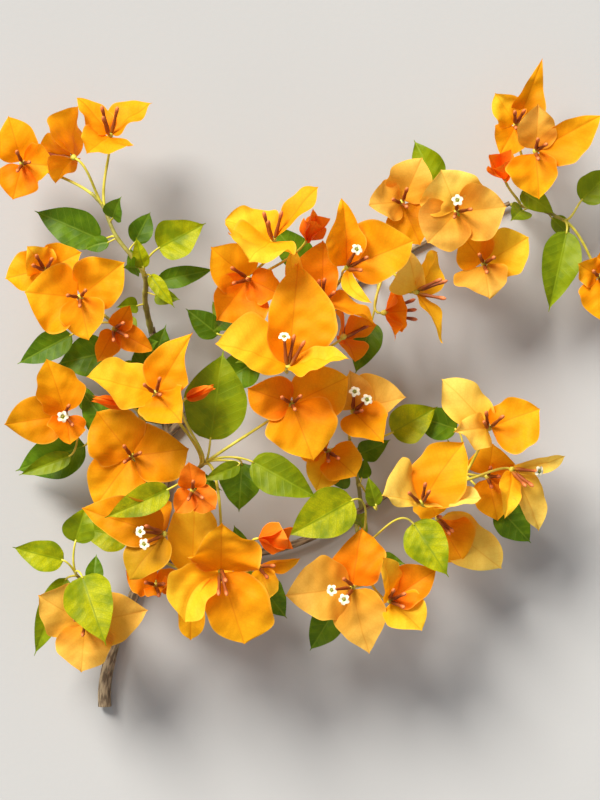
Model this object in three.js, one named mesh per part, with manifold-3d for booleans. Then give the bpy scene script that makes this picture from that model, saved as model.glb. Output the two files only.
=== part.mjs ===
// A cut flowering branch of bougainvillea, lying on its back on a floor: three woody limbs that rest on the
// floor, the shoots that rise from them with their leaves, and the orange blooms that the shoots carry.
// Every bloom is three papery bracts round three slender flower tubes.

import * as THREE from "three";
import { mergeVertices } from "three/addons/utils/BufferGeometryUtils.js";
import Module from "manifold-3d";

const wasm = await Module();
wasm.setup();

// Sizes are in millimetres. Before the whole is centred, X runs to the right, Y away from the cut end
// and Z up.
const CENTRE_X = 9.035;
const CENTRE_Y = 9;

const CLEARANCE = 0.3;
const SMALLEST_OVERLAP = 1e-6;
const SAME_CORNER = 1e-4;

const BRACT_THICKNESS = 1;
const BRACT_ARCH = 0.1;
const BRACT_FOLD = 0.22;

const LEAF_THICKNESS = 1;
const LEAF_ARCH = 0.1;
const LEAF_FOLD = 0.3;

const RECEPTACLE_RADIUS = 2.2;
const RECEPTACLE_LENGTH = 3.6;
const BRACT_START = 1.3;
const TUBE_START = 1.2;
const TUBE_LENGTH = 18;
const TUBE_RADIUS = 1;
const TUBE_FOOT_RADIUS = 0.7;
const TUBE_FOOT = 0.4;
const TUBE_LEAN = 0.3;
const STAR_RADIUS = 3.5;
const STAR_DEPTH = 1.4;
const BUD_FOOT = 1.2;
const BUD_TIP = 0.6;

const PEDUNCLE_RADIUS = 0.75;
const PETIOLE_RADIUS = 0.6;
const REACH_OF_BEND = 0.35;
const STALK_STEP = 9;
const STALK_GAP = 0.4;
const YOUNG_SINK = 1;
const LEAF_SINK = 1.5;
const STALK_FOOT = 1.2;

// How many flat sides the round bodies have, and how many steps a limb takes from one of its points to
// the next.
const LIMB_SIDES = 8;
const STEM_SIDES = 4;
const STALK_SIDES = 3;
const TUBE_SIDES = 3;
const BUD_SIDES = 6;
const STAR_LOBES = 5;
const STEPS_BETWEEN = 2;

// Along a blade: how far from its base as a share of its length, and the half width there as a share of
// the widest.
const BRACT_OUTLINE = [[0, 0.06], [0.32, 0.95], [0.7, 0.85]];
const LEAF_OUTLINE = [[0, 0.06], [0.3, 0.95], [0.66, 0.76]];

const ORANGE = { color: 0xf59a0c, roughness: 0.75, metalness: 0 };
const GREEN = { color: 0x6f9424, roughness: 0.6, metalness: 0 };
const BARK = { color: 0x7d6a4c, roughness: 0.85, metalness: 0 };

// A bract reaches from its base by x, y and z, and is as wide as told. Roll turns it about its length,
// lopsided makes its one side wider and the other narrower, and sway bends it sideways by a share of
// its length.
const bract = (x, y, z, width, roll = 0, lopsided = 0, sway = 0) =>
  ({ reach: new THREE.Vector3(x, y, z), width, roll, lopsided, sway });

// The blooms, front ones first. Each has the place of its base, the way it opens, its bracts and its open
// stars, and where its flower tubes lean another way, that way too.
const blooms = {
  centre_1: { at: [-7, 20, 84], opens: [0.1, 0.35, 0.93], tubes: [0.2, 0.85, 0.42], stars: 1,
    bracts: [bract(-43, 14, 8, 37, 16, 0.26), bract(6, 62, -4, 41, 0, 0.24),
      bract(36, 5, 14, 26, -42, 0.55)] },
  centre_2: { at: [-5, -2, 68], opens: [0, 0.1, 1], stars: 0,
    bracts: [bract(34, 16, -2, 34, 10), bract(13, -34, 8, 43), bract(-26, 9, 10, 27, -10)] },
  centre_3: { at: [-16, 95, 80], opens: [0, 0.75, 0.65], stars: 0,
    bracts: [bract(-29, 13, -8, 35), bract(-14, -12, 26, 42), bract(25, 33, 6, 15, -12, 0, 0.12)] },
  centre_4: { at: [28, 79, 78], opens: [0.35, 0.2, 0.92], stars: 1,
    bracts: [bract(-3, 41, 8, 27, 0, -0.38), bract(40, 16, 4, 38, 0, -0.18),
      bract(14, -21, 20, 9, 30, 0, 0.3)] },
  centre_5: { at: [13, 59, 64], opens: [0.1, 0.4, 0.9], stars: 0,
    bracts: [bract(1, 37, 2, 27, 0, -0.3), bract(-17, 33, 6, 14, 0, 0, -0.5), bract(32, -12, 4, 24, -36)] },
  centre_6: { at: [-31, 73, 62], opens: [-0.3, 0.1, 0.95], stars: 0,
    bracts: [bract(-22, 18, 12, 31), bract(-19, -25, 8, 35, -22, -0.25), bract(20, -10, 8, 22)] },
  centre_7: { at: [26, 38, 57], opens: [0.5, 0.5, -0.6], stars: 0,
    bracts: [bract(20, 8, -12, 24), bract(-4, 16, -20, 22), bract(8, -14, -18, 20)] },
  centre_8: { at: [70, 65, 62], opens: [0.85, 0.1, 0.5], stars: 0,
    bracts: [bract(14, 25, -16, 22), bract(-6, 26, 12, 24, -40, -0.5), bract(16, -31, 8, 18)] },
  centre_9: { at: [51, 53, 46], opens: [0.95, 0.1, 0], stars: 0,
    bracts: [bract(8, 19, -3, 25), bract(15, 1, 15, 25), bract(7, -17, -3, 22)] },
  left_1: { at: [-86, 4, 84], opens: [0, 0.2, 0.95], stars: 0,
    bracts: [bract(-41, 10, 4, 32, 10), bract(22, 36, 6, 29), bract(16, -17, 20, 30)] },
  left_2: { at: [-101, -34, 66], opens: [0, 0.1, 1], stars: 0,
    bracts: [bract(-21, 27, 4, 37), bract(34, 5, 6, 36), bract(-22, -30, 4, 36)] },
  left_3: { at: [-64, -54, 82], opens: [0.1, 0, 1], stars: 0,
    bracts: [bract(-2, 17, 6, 17), bract(-10, -13, 6, 15), bract(14, -11, 6, 17)] },
  lower_1: { at: [-47, -102, 88], opens: [0, 0.15, 1], tubes: [0.15, -0.6, 0.8], stars: 0,
    bracts: [bract(1, 30, 22, 43, 0, 0.1), bract(-21, -29, 10, 27, 0, 0.12, 0.38),
      bract(14, -43, 2, 38, 0, -0.08)] },
  lower_2: { at: [-65, -105, 64], opens: [0, 0, 1], stars: 0,
    bracts: [bract(2, 46, 4, 29), bract(-1, -40, -2, 16), bract(26, 4, 2, 20)] },
  lower_3: { at: [-81, -80, 78], opens: [-0.4, 0, 0.9], stars: 2,
    bracts: [bract(-50, 15, -2, 30, 0, 0.2), bract(-21, -27, 4, 29), bract(-4, 20, -20, 20)] },
  lower_4: { at: [-88, -113, 36], opens: [0, 0, 1], stars: 0,
    bracts: [bract(-18, 9, 4, 20), bract(3, -6, 12, 16), bract(18, 6, 2, 16)] },
  lower_5: { at: [-25, -100, 66], opens: [0.2, 0, 1], stars: 0,
    bracts: [bract(25, 5, 2, 12, 48), bract(7, -19, 2, 15), bract(-16, 8, -8, 14)] },
  corner_1: { at: [-130, -135, 52], opens: [0, 0, 1], stars: 0,
    bracts: [bract(-28, 17, 6, 34), bract(-2, -29, 8, 34), bract(38, 8, 4, 32)] },
  inner_1: { at: [32, -7, 52], opens: [0.1, 0.3, 0.95], stars: 2,
    bracts: [bract(32, 9, 4, 28, 0, -0.3), bract(-2, 25, 10, 24), bract(18, -18, 22, 29)] },
  inner_2: { at: [17, -31, 46], opens: [0.1, 0, 1], stars: 0,
    bracts: [bract(17, -15, 8, 26), bract(-7, -24, 4, 24), bract(-22, 10, 4, 22)] },
  south_1: { at: [32, -113, 58], opens: [-0.35, 0, 0.93], stars: 2,
    bracts: [bract(-41, -5, 2, 39), bract(9, -40, 4, 32, 0, -0.1), bract(5, 36, 2, 32, 0, 0.2)] },
  south_2: { at: [54, -121, 62], opens: [0.2, 0.1, 0.95], stars: 0,
    bracts: [bract(-4, 27, 18, 22, 35), bract(28, 19, 2, 24, -15), bract(19, -17, 10, 27)] },
  east_1: { at: [73, -62, 64], opens: [-0.1, 0.4, 0.9], stars: 0,
    bracts: [bract(-24, 5, 18, 28, 0, 0.6), bract(25, 37, 2, 37, 0, 0.08), bract(35, 4, 12, 14, -15)] },
  east_2: { at: [114, -17, 58], opens: [0.1, 0.3, 0.95], stars: 0,
    bracts: [bract(-28, 30, 2, 27, 0, -0.15), bract(30, 12, 6, 34, 0, 0.3),
      bract(-22, -2, 20, 22, 0, -0.3)] },
  east_3: { at: [128, -42, 54], opens: [0.5, -0.2, 0.75], stars: 1,
    bracts: [bract(31, 7, 12, 10), bract(-5, -29, 16, 14, 20), bract(18, -37, -2, 22)] },
  east_4: { at: [115, -47, 26], opens: [0, 0, 1], stars: 0,
    bracts: [bract(3, 20, 6, 29), bract(6, -27, 4, 24), bract(22, 2, 4, 20)] },
  east_5: { at: [84, -72, 36], opens: [0.2, -0.2, 0.95], stars: 0,
    bracts: [bract(15, -26, 6, 34, 0, 0.08), bract(39, -31, 0, 28), bract(-12, 22, 2, 22)] },
  north_1: { at: [62, 120, 44], opens: [0, 0.1, 1], stars: 0,
    bracts: [bract(12, 27, 4, 28), bract(-20, -2, 14, 26), bract(11, -26, 4, 28)] },
  north_2: { at: [95, 114, 50], opens: [0.1, 0, 1], stars: 1,
    bracts: [bract(-10, 25, 8, 38), bract(30, 3, 4, 35, 0, 0.1), bract(-18, -19, 8, 34)] },
  north_3: { at: [112, 83, 40], opens: [0, 0, 1], stars: 0,
    bracts: [bract(27, 16, 4, 30), bract(3, -22, 8, 33, 0, 0.2), bract(-14, 18, 4, 26)] },
  west_1: { at: [-133, 62, 58], opens: [0, 0, 1], stars: 0,
    bracts: [bract(-33, 3, 4, 43, 0, -0.12), bract(27, 21, 4, 33), bract(6, -26, 8, 28)] },
  west_2: { at: [-155, 79, 42], opens: [0, 0.2, 1], stars: 0,
    bracts: [bract(-24, -5, 4, 26), bract(-10, 14, 12, 22), bract(22, 11, 2, 24)] },
  west_3: { at: [-113, 43, 42], opens: [0.2, -0.1, 1], stars: 0,
    bracts: [bract(10, 14, 8, 14), bract(24, -13, 4, 16), bract(-10, -20, 6, 15)] },
  west_4: { at: [-143, -9, 40], opens: [0.3, 0, 0.95], stars: 1,
    bracts: [bract(-37, -6, 2, 30), bract(-11, 34, 6, 31), bract(4, -18, 12, 24)] },
  crown_1: { at: [-115, 160, 52], opens: [0, 0.7, 0.7], stars: 0,
    bracts: [bract(25, 21, -4, 23, 0, -0.25), bract(-20, 24, -4, 19), bract(-13, -12, 18, 33, 0, -0.3)] },
  crown_2: { at: [-137, 147, 50], opens: [-0.5, 0.3, -0.4], stars: 0,
    bracts: [bract(2, 32, -10, 31, 0, 0.3), bract(-21, 4, -13, 31), bract(-12, -15, -6, 25)] },
  crown_3: { at: [-169, 144, 42], opens: [0, 0, 1], stars: 0,
    bracts: [bract(-8, 28, 6, 26), bract(20, -2, 6, 24), bract(-5, -22, 8, 26)] },
  far_1: { at: [143, 151, 46], opens: [0, 0, 1], stars: 0,
    bracts: [bract(1, 28, 8, 24), bract(40, 22, 2, 25, 0, 0.4), bract(2, -29, 4, 31, 0, 0.25)] },
  far_2: { at: [132, 168, 32], opens: [0.1, 0.1, 1], stars: 0,
    bracts: [bract(16, 40, 6, 20, 0, 0.3), bract(-13, 19, 6, 22), bract(-10, -18, 4, 22)] },
  far_3: { at: [183, 75, 34], opens: [0, 0, 1], stars: 0,
    bracts: [bract(-14, 8, 8, 18), bract(20, 14, 4, 26), bract(2, -28, 6, 26)] },
};

// Young blooms, too small to stand alone, are closed buds joined to the shoots that carry them.
const youngBlooms = {
  bud_centre: { at: [4, 96, 64], reach: [8, 14, 12], width: 13 },
  bud_left_1: { at: [-68, 1, 80], reach: [17, 7, 5], width: 9 },
  bud_left_2: { at: [-103, -3, 77], reach: [-21, 4, 5], width: 9 },
  bud_lower: { at: [-25, -83, 72], reach: [20, 0, 6], width: 16 },
  bud_far: { at: [125, 135, 34], reach: [-3, 13, 13], width: 14 },
};

// A leaf grows at a share along its shoot's stem. Its blade runs from its base to its tip.
const leaf = (along, base, tip, width, roll = 0) => ({ along, base, tip, width, roll });

// The woody limbs, each one taper from its first radius to its last, along points that lie near the floor.
const limbs = {
  main_stem: { radii: [4.2, 2.2],
    points: [[-121, -190, 4.2], [-121, -178, 4.2], [-115, -150, 4], [-98, -108, 4],
      [-84, -55, 4], [-84, 0, 4], [-92, 45, 6]] },
  right_bough: { radii: [3, 1.6],
    points: [[-94, -98, 4], [-50, -98, 5], [0, -88, 5], [48, -62, 3], [84, -42, 1.8], [100, -34, 3]] },
  upper_bough: { radii: [3, 1.5],
    points: [[-84, -24, 4], [-48, 12, 5], [-6, 44, 4.5], [42, 78, 3], [90, 104, 2], [130, 122, 4]] },
};

// The shoots: the stem from the limb upward, the blooms it carries with the share along the stem where each
// one's stalk leaves, and its leaves.
const shoots = {
  crown_shoot: { radii: [1.9, 1],
    stem: [[-92, 42, 6], [-95, 60, 24], [-95, 77, 42], [-112, 100, 44], [-120, 118, 42], [-127, 126, 42]],
    carries: { crown_1: 0.85, crown_2: 0.9, crown_3: 0.96 },
    leaves: [leaf(0.42, [-95, 80, 50], [-99, 98, 58], 10), leaf(0.42, [-91, 76, 48], [-76, 56, 52], 9),
      leaf(0.45, [-86, 92, 48], [-57, 107, 54], 25), leaf(0.7, [-122, 98, 34], [-163, 116, 30], 24),
      leaf(0.35, [-87, 72, 36], [-52, 80, 36], 13)] },
  west_shoot: { radii: [1.6, 1],
    stem: [[-86, 18, 4], [-94, 24, 20], [-106, 40, 28], [-120, 52, 34]],
    carries: { west_1: 0.95, west_2: 0.97, west_3: 0.7 },
    leaves: [leaf(0.5, [-116, 30, 22], [-150, 22, 18], 26), leaf(0.8, [-140, 40, 26], [-174, 22, 22], 18)] },
  low_west_shoot: { radii: [1.5, 1],
    stem: [[-84, -14, 4], [-100, -12, 14], [-122, -14, 22], [-136, -12, 28]],
    carries: { west_4: 0.97 },
    leaves: [leaf(0.7, [-132, -28, 22], [-176, -44, 16], 28), leaf(0.9, [-140, -34, 32], [-172, -46, 32], 12),
      leaf(0.2, [-94, 10, 28], [-82, 46, 32], 26)] },
  centre_west_shoot: { radii: [1.4, 0.9],
    stem: [[-30, 26, 4.5], [-40, 44, 24], [-44, 62, 40], [-38, 68, 50]],
    carries: { centre_6: 0.97, centre_3: 0.8, bud_centre: 0.86 },
    leaves: [leaf(0.3, [-50, 40, 26], [-70, 56, 28], 16)] },
  centre_shoot: { radii: [1.6, 1],
    stem: [[-6, 44, 4.5], [-12, 34, 24], [-12, 24, 44], [-9, 18, 58]],
    carries: { centre_1: 0.97, centre_7: 0.6 },
    leaves: [leaf(0.4, [-26, 24, 30], [-56, 6, 34], 22)] },
  centre_north_shoot: { radii: [1.5, 1],
    stem: [[20, 62, 4], [16, 60, 20], [18, 64, 34], [24, 72, 46]],
    carries: { centre_4: 0.97, centre_5: 0.9 },
    leaves: [leaf(0.4, [6, 80, 28], [-18, 108, 30], 20)] },
  centre_east_shoot: { radii: [1.4, 0.9],
    stem: [[44, 79, 3.2], [46, 80, 20], [52, 80, 34], [58, 76, 46]],
    carries: { centre_8: 0.97, centre_9: 0.6 },
    leaves: [leaf(0.4, [44, 48, 22], [34, 16, 26], 20)] },
  north_shoot: { radii: [1.3, 0.9],
    stem: [[84, 101, 2.2], [86, 106, 14], [88, 108, 24], [90, 110, 32]],
    carries: { north_1: 0.8, north_2: 0.97, north_3: 0.7 },
    leaves: [leaf(0.6, [84, 132, 22], [70, 160, 22], 20)] },
  far_shoot: { radii: [1.4, 0.9],
    stem: [[131, 121, 4], [140, 119, 14], [150, 116, 22], [162, 110, 28]],
    carries: { far_1: 0.4, far_2: 0.25, far_3: 0.97, bud_far: 0.1 },
    leaves: [leaf(0.97, [163, 103, 34], [152, 54, 36], 24), leaf(0.3, [136, 128, 26], [156, 114, 30], 14),
      leaf(0.97, [172, 122, 30], [192, 142, 28], 20)] },
  heart_shoot: { radii: [1.8, 1],
    stem: [[-84, -42, 4], [-76, -46, 28], [-66, -44, 50], [-56, -37, 64]],
    carries: { left_1: 0.85, bud_left_1: 0.9, left_3: 0.8, lower_1: 0.93, centre_2: 0.98 },
    leaves: [leaf(0.95, [-54, -24, 62], [-46, 30, 70], 38), leaf(0.97, [-29, -37, 66], [11, -59, 70], 24),
      leaf(0.97, [-36, -39, 72], [-58, -48, 78], 10), leaf(0.95, [-35, -38, 54], [-37, -68, 52], 25),
      leaf(0.75, [-78, -53, 86], [-116, -70, 91], 18)] },
  left_shoot: { radii: [1.5, 1],
    stem: [[-84, -36, 4], [-94, -38, 22], [-100, -38, 38], [-102, -37, 48]],
    carries: { left_2: 0.97, bud_left_2: 0.7 },
    leaves: [leaf(0.5, [-112, -22, 34], [-134, 6, 30], 22)] },
  lower_shoot: { radii: [1.6, 1],
    stem: [[-92, -88, 4], [-90, -92, 18], [-88, -96, 32], [-84, -98, 44]],
    carries: { lower_2: 0.9, lower_3: 0.97, lower_4: 0.5 },
    leaves: [leaf(0.4, [-104, -84, 30], [-136, -78, 28], 22)] },
  lower_east_shoot: { radii: [1.4, 0.9],
    stem: [[-40, -97, 5], [-36, -98, 20], [-32, -98, 36], [-28, -92, 50]],
    carries: { lower_5: 0.9, bud_lower: 0.97 },
    leaves: [leaf(0.4, [-26, -110, 28], [-8, -134, 28], 20)] },
  corner_shoot: { radii: [1.5, 1],
    stem: [[-112, -142, 4], [-120, -130, 16], [-130, -114, 32], [-136, -106, 46]],
    carries: { corner_1: 0.5 },
    leaves: [leaf(0.95, [-131, -106, 66], [-116, -146, 82], 30),
      leaf(0.95, [-143, -97, 52], [-174, -89, 54], 19), leaf(0.95, [-142, -108, 46], [-162, -156, 42], 18),
      leaf(0.95, [-136, -86, 52], [-129, -64, 56], 20)] },
  south_shoot: { radii: [1.5, 1],
    stem: [[34, -70, 4], [36, -84, 18], [40, -98, 30], [42, -108, 38]],
    carries: { south_1: 0.95, south_2: 0.97 },
    leaves: [leaf(0.35, [32, -60, 62], [-8, -82, 66], 30), leaf(0.4, [68, -74, 66], [89, -106, 74], 26),
      leaf(0.6, [22, -128, 26], [6, -154, 24], 20)] },
  inner_shoot: { radii: [1.4, 0.9],
    stem: [[38, -68, 3.6], [36, -52, 16], [32, -34, 28], [30, -22, 36]],
    carries: { inner_1: 0.97, inner_2: 0.8 },
    leaves: [leaf(0.3, [46, -64, 58], [41, -46, 64], 10), leaf(0.7, [56, -20, 34], [84, -4, 36], 24)] },
  east_shoot: { radii: [1.5, 1],
    stem: [[94, -37, 2.6], [98, -40, 16], [98, -44, 26], [98, -48, 34]],
    carries: { east_1: 0.9, east_2: 0.93, east_3: 0.97, east_4: 0.7, east_5: 0.75 },
    leaves: [leaf(0.5, [96, -18, 30], [66, -8, 30], 20), leaf(0.5, [122, -66, 26], [142, -88, 24], 22)] },
};

const vector = (point) => new THREE.Vector3(...point);

// Turns a closed geometry into a solid whose shared corners are one corner.
function solidOf(geometry) {
  const bare = geometry.index ? geometry.toNonIndexed() : geometry;
  bare.deleteAttribute("normal");
  bare.deleteAttribute("uv");
  const merged = mergeVertices(bare, SAME_CORNER);
  const mesh = new wasm.Mesh({
    numProp: 3,
    vertProperties: Float32Array.from(merged.attributes.position.array),
    triVerts: Uint32Array.from(merged.index.array),
  });
  return new wasm.Manifold(mesh);
}

function geometryOf(solid) {
  const mesh = solid.getMesh();
  const geometry = new THREE.BufferGeometry();
  geometry.setAttribute("position", new THREE.BufferAttribute(Float32Array.from(mesh.vertProperties), 3));
  geometry.setIndex(Array.from(mesh.triVerts));
  geometry.computeVertexNormals();
  return geometry;
}

// A closed skin over rings of equal length, with a fan over each end. A ring may be one repeated point.
function skin(rings) {
  const sides = rings[0].length;
  const corners = [];
  const addFace = (a, b, c) => corners.push(a, b, c);
  for (let i = 0; i + 1 < rings.length; i += 1) {
    for (let j = 0; j < sides; j += 1) {
      const next = (j + 1) % sides;
      addFace(rings[i][j], rings[i][next], rings[i + 1][next]);
      addFace(rings[i][j], rings[i + 1][next], rings[i + 1][j]);
    }
  }
  const first = rings[0];
  const last = rings[rings.length - 1];
  for (let j = 1; j + 1 < sides; j += 1) {
    addFace(first[0], first[j + 1], first[j]);
    addFace(last[0], last[j], last[j + 1]);
  }
  return new THREE.BufferGeometry().setFromPoints(corners);
}

// A tapering limb along a curve. Grown makes it that much fatter and longer, as the space kept clear
// round it.
function taper(curve, radii, sides, steps, grown) {
  const frames = curve.computeFrenetFrames(steps, false);
  const grownAtCorners = grown / Math.cos(Math.PI / sides);
  const rings = [];
  for (let i = 0; i <= steps; i += 1) {
    const share = i / steps;
    const radius = THREE.MathUtils.lerp(radii[0], radii[1], share) + grownAtCorners;
    const middle = curve.getPointAt(share);
    if (i === 0) middle.addScaledVector(frames.tangents[i], -grown);
    if (i === steps) middle.addScaledVector(frames.tangents[i], grown);
    const ring = [];
    for (let j = 0; j < sides; j += 1) {
      const angle = (2 * Math.PI * j) / sides;
      ring.push(middle.clone()
        .addScaledVector(frames.normals[i], radius * Math.cos(angle))
        .addScaledVector(frames.binormals[i], radius * Math.sin(angle)));
    }
    rings.push(ring);
  }
  return solidOf(skin(rings));
}

// A thin blade with a pointed tip, thickest along its rib and sharp at its edges. Its inner side turns
// towards facing, its sides fold that way, and its middle arches that way too. Grown blunts it, as the space
// kept clear.
function blade(base, { reach, width, roll, lopsided, sway }, facing, form, grown) {
  const length = reach.length();
  const along = reach.clone().divideScalar(length);
  const inner = facing.clone().addScaledVector(along, -facing.dot(along)).normalize();
  inner.applyAxisAngle(along, THREE.MathUtils.degToRad(roll));
  const across = new THREE.Vector3().crossVectors(along, inner);
  const middle = base.clone().addScaledVector(along, length / 2).addScaledVector(inner, length * form.arch)
    .addScaledVector(across, length * sway);
  const rib = new THREE.QuadraticBezierCurve3(base, middle, base.clone().add(reach));
  const half = form.thickness / 2 + grown;
  const lifted = (corner, height) => corner.clone().addScaledVector(inner, height);
  const ringOf = (left, point, right) => (grown > 0
    ? [lifted(left, grown), lifted(point, half), lifted(right, grown),
      lifted(right, -grown), lifted(point, -half), lifted(left, -grown)]
    : [left, lifted(point, half), right, lifted(point, -half)]);
  const rings = form.outline.map(([share, wide]) => {
    const side = (width / 2) * wide;
    const point = rib.getPoint(share);
    if (share === 0) point.addScaledVector(along, -grown);
    const edge = (sign) => {
      const out = side * (1 + sign * lopsided);
      return lifted(point, out * form.fold).addScaledVector(across, sign * (out + grown));
    };
    return ringOf(edge(-1), point, edge(1));
  });
  const tip = rib.getPoint(1).addScaledVector(along, grown);
  const above = lifted(tip, grown);
  const below = lifted(tip, -grown);
  rings.push(grown > 0 ? [above, above, above, below, below, below] : [tip, tip, tip, tip]);
  return solidOf(closedBlade(rings));
}

// The skin of a blade, whose last ring closes to its tip, without the empty faces there.
function closedBlade(rings) {
  const position = skin(rings).getAttribute("position");
  const corners = [];
  for (let i = 0; i < position.count; i += 3) {
    const face = [0, 1, 2].map((j) => new THREE.Vector3().fromBufferAttribute(position, i + j));
    const [a, b, c] = face;
    if (!a.equals(b) && !b.equals(c) && !c.equals(a)) corners.push(...face);
  }
  return new THREE.BufferGeometry().setFromPoints(corners);
}

// A short straight body from one radius to another, along a direction from a start.
function stub(start, direction, length, radii, sides, grown) {
  const end = start.clone().addScaledVector(direction, length);
  return taper(new THREE.LineCurve3(start, end), radii, sides, 1, grown);
}

const joined = (solids) => solids.reduce((whole, solid) => whole.add(solid));

// The largest body of a solid that cuts may have split.
function largest(solid) {
  const bodies = solid.decompose();
  return bodies.reduce((best, body) => (body.volume() > best.volume() ? body : best));
}

const boxesMeet = (a, b) => [0, 1, 2].every((i) => a.min[i] < b.max[i] && b.min[i] < a.max[i]);

// Cuts a solid clear of every space that it would enter.
function cutClear(solid, spaces) {
  let left = solid;
  for (const space of spaces) {
    if (!boxesMeet(left.boundingBox(), space.boundingBox())) continue;
    if (left.intersect(space).volume() < SMALLEST_OVERLAP) continue;
    left = left.subtract(space);
  }
  return left === solid ? solid : largest(left);
}

const BRACT_FORM = { thickness: BRACT_THICKNESS, arch: BRACT_ARCH, fold: BRACT_FOLD, outline: BRACT_OUTLINE };
const LEAF_FORM = { thickness: LEAF_THICKNESS, arch: LEAF_ARCH, fold: LEAF_FOLD, outline: LEAF_OUTLINE };

const receptacleOf = (base, opens, grown) =>
  stub(base.clone().addScaledVector(opens, -RECEPTACLE_LENGTH / 2), opens, RECEPTACLE_LENGTH,
    [RECEPTACLE_RADIUS, RECEPTACLE_RADIUS], BUD_SIDES, grown);

// A bract of a bloom starts a little out from the middle of the bloom.
function bractBlade(base, axis, each, grown) {
  const start = each.reach.clone().setLength(BRACT_START);
  const shape = { ...each, reach: each.reach.clone().sub(start) };
  return blade(base.clone().add(start), shape, axis, BRACT_FORM, grown);
}

// A whole bloom: the bracts, one flower tube before each, and a star on each tube that has opened.
function bloomSolids({ at, opens, tubes, bracts, stars }, grown) {
  const base = vector(at);
  const axis = vector(opens).normalize();
  const upright = vector(tubes ?? opens).normalize();
  const solids = [receptacleOf(base, axis, grown)];
  bracts.forEach((each, index) => {
    solids.push(bractBlade(base, axis, each, grown));
    const outward = each.reach.clone().addScaledVector(axis, -each.reach.dot(axis)).normalize();
    const direction = upright.clone().addScaledVector(outward, TUBE_LEAN).normalize();
    const height = RECEPTACLE_LENGTH * TUBE_FOOT;
    const foot = base.clone().addScaledVector(axis, height).addScaledVector(outward, TUBE_START);
    solids.push(stub(foot, direction, TUBE_LENGTH, [TUBE_FOOT_RADIUS, TUBE_RADIUS], TUBE_SIDES, grown));
    if (index < stars) {
      const neck = foot.clone().addScaledVector(direction, TUBE_LENGTH - STAR_DEPTH / 2);
      solids.push(stub(neck, direction, STAR_DEPTH, [TUBE_RADIUS, STAR_RADIUS], STAR_LOBES, grown));
    }
  });
  return solids;
}

// A closed bud, widest at its middle.
function budSolid({ at, reach, width }, grown) {
  const foot = vector(at);
  const middle = foot.clone().addScaledVector(vector(reach), 0.5);
  const along = vector(reach).normalize();
  const half = vector(reach).length() / 2;
  const below = stub(foot, along, half, [BUD_FOOT, width / 2], BUD_SIDES, grown);
  const above = stub(middle, along, half, [width / 2, BUD_TIP], BUD_SIDES, grown);
  return below.add(above);
}

// The stalk from a point of a shoot's stem to a place that it enters along a direction.
function stalk(stem, along, place, direction, radius, grown) {
  const start = stem.getPointAt(along);
  const leaving = stem.getTangentAt(along);
  const bend = start.distanceTo(place) * REACH_OF_BEND;
  const curve = new THREE.CubicBezierCurve3(start, start.clone().addScaledVector(leaving, bend),
    place.clone().addScaledVector(direction, -bend), place);
  const steps = Math.max(2, Math.round(start.distanceTo(place) / STALK_STEP));
  return taper(curve, [radius * STALK_FOOT, radius], STALK_SIDES, steps, grown);
}

const limbCurve = (points) => new THREE.CatmullRomCurve3(points.map(vector), false, "centripetal");

const limbSolid = ({ points, radii }, grown) =>
  taper(limbCurve(points), radii, LIMB_SIDES, STEPS_BETWEEN * (points.length - 1), grown);

// The stem of a shoot with the stalks of its blooms and of its leaves, and its young blooms.
function shootTwigs({ stem, radii, carries, leaves }, grown) {
  const curve = limbCurve(stem);
  const solids = [taper(curve, radii, STEM_SIDES, STEPS_BETWEEN * (stem.length - 1), grown)];
  for (const [name, along] of Object.entries(carries)) {
    const { at, opens, reach } = blooms[name] ?? youngBlooms[name];
    const axis = vector(opens ?? reach).normalize();
    const gap = name in blooms ? RECEPTACLE_LENGTH / 2 + STALK_GAP : -YOUNG_SINK;
    solids.push(stalk(curve, along, vector(at).addScaledVector(axis, -gap), axis, PEDUNCLE_RADIUS, grown));
    if (name in youngBlooms) solids.push(budSolid(youngBlooms[name], grown));
  }
  for (const { along, base, tip } of leaves) {
    const direction = vector(tip).sub(vector(base)).normalize();
    const place = vector(base).addScaledVector(direction, LEAF_SINK);
    solids.push(stalk(curve, along, place, direction, PETIOLE_RADIUS, grown));
  }
  return solids;
}

const up = new THREE.Vector3(0, 0, 1);
function leafBlade({ base, tip, width, roll }, grown) {
  const reach = vector(tip).sub(vector(base));
  return blade(vector(base), { reach, width, roll, lopsided: 0, sway: 0 }, up, LEAF_FORM, grown);
}

const group = new THREE.Group();
group.position.set(-CENTRE_X, -CENTRE_Y, 0);

function place(name, solid, finish) {
  const mesh = new THREE.Mesh(geometryOf(solid), new THREE.MeshStandardMaterial(finish));
  mesh.name = name;
  group.add(mesh);
}

const takenByLimbs = [];
for (const [name, limb] of Object.entries(limbs)) {
  place(name, cutClear(limbSolid(limb, 0), takenByLimbs), BARK);
  takenByLimbs.push(limbSolid(limb, CLEARANCE));
}

const twigs = {};
const takenByTwigs = {};
for (const [name, shoot] of Object.entries(shoots)) {
  const others = Object.values(takenByTwigs);
  twigs[name] = cutClear(joined(shootTwigs(shoot, 0)), [...takenByLimbs, ...others]);
  takenByTwigs[name] = joined(shootTwigs(shoot, CLEARANCE));
}

const taken = [...takenByLimbs, ...Object.values(takenByTwigs)];
for (const [name, bloom] of Object.entries(blooms)) {
  place(`bloom_${name}`, cutClear(joined(bloomSolids(bloom, 0)), taken), ORANGE);
  taken.push(joined(bloomSolids(bloom, CLEARANCE)));
}

const takenByBlooms = taken.slice(takenByLimbs.length + Object.keys(shoots).length);
const takenByLeaves = [];
for (const [name, { leaves }] of Object.entries(shoots)) {
  const others = Object.keys(shoots).filter((other) => other !== name).map((other) => takenByTwigs[other]);
  const spaces = [...takenByLimbs, ...others, ...takenByBlooms, ...takenByLeaves];
  const blades = leaves.map((each) => cutClear(leafBlade(each, 0), spaces));
  takenByLeaves.push(...leaves.map((each) => leafBlade(each, CLEARANCE)));
  place(name, largest(joined([twigs[name], ...blades])), GREEN);
}

export default group;
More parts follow.
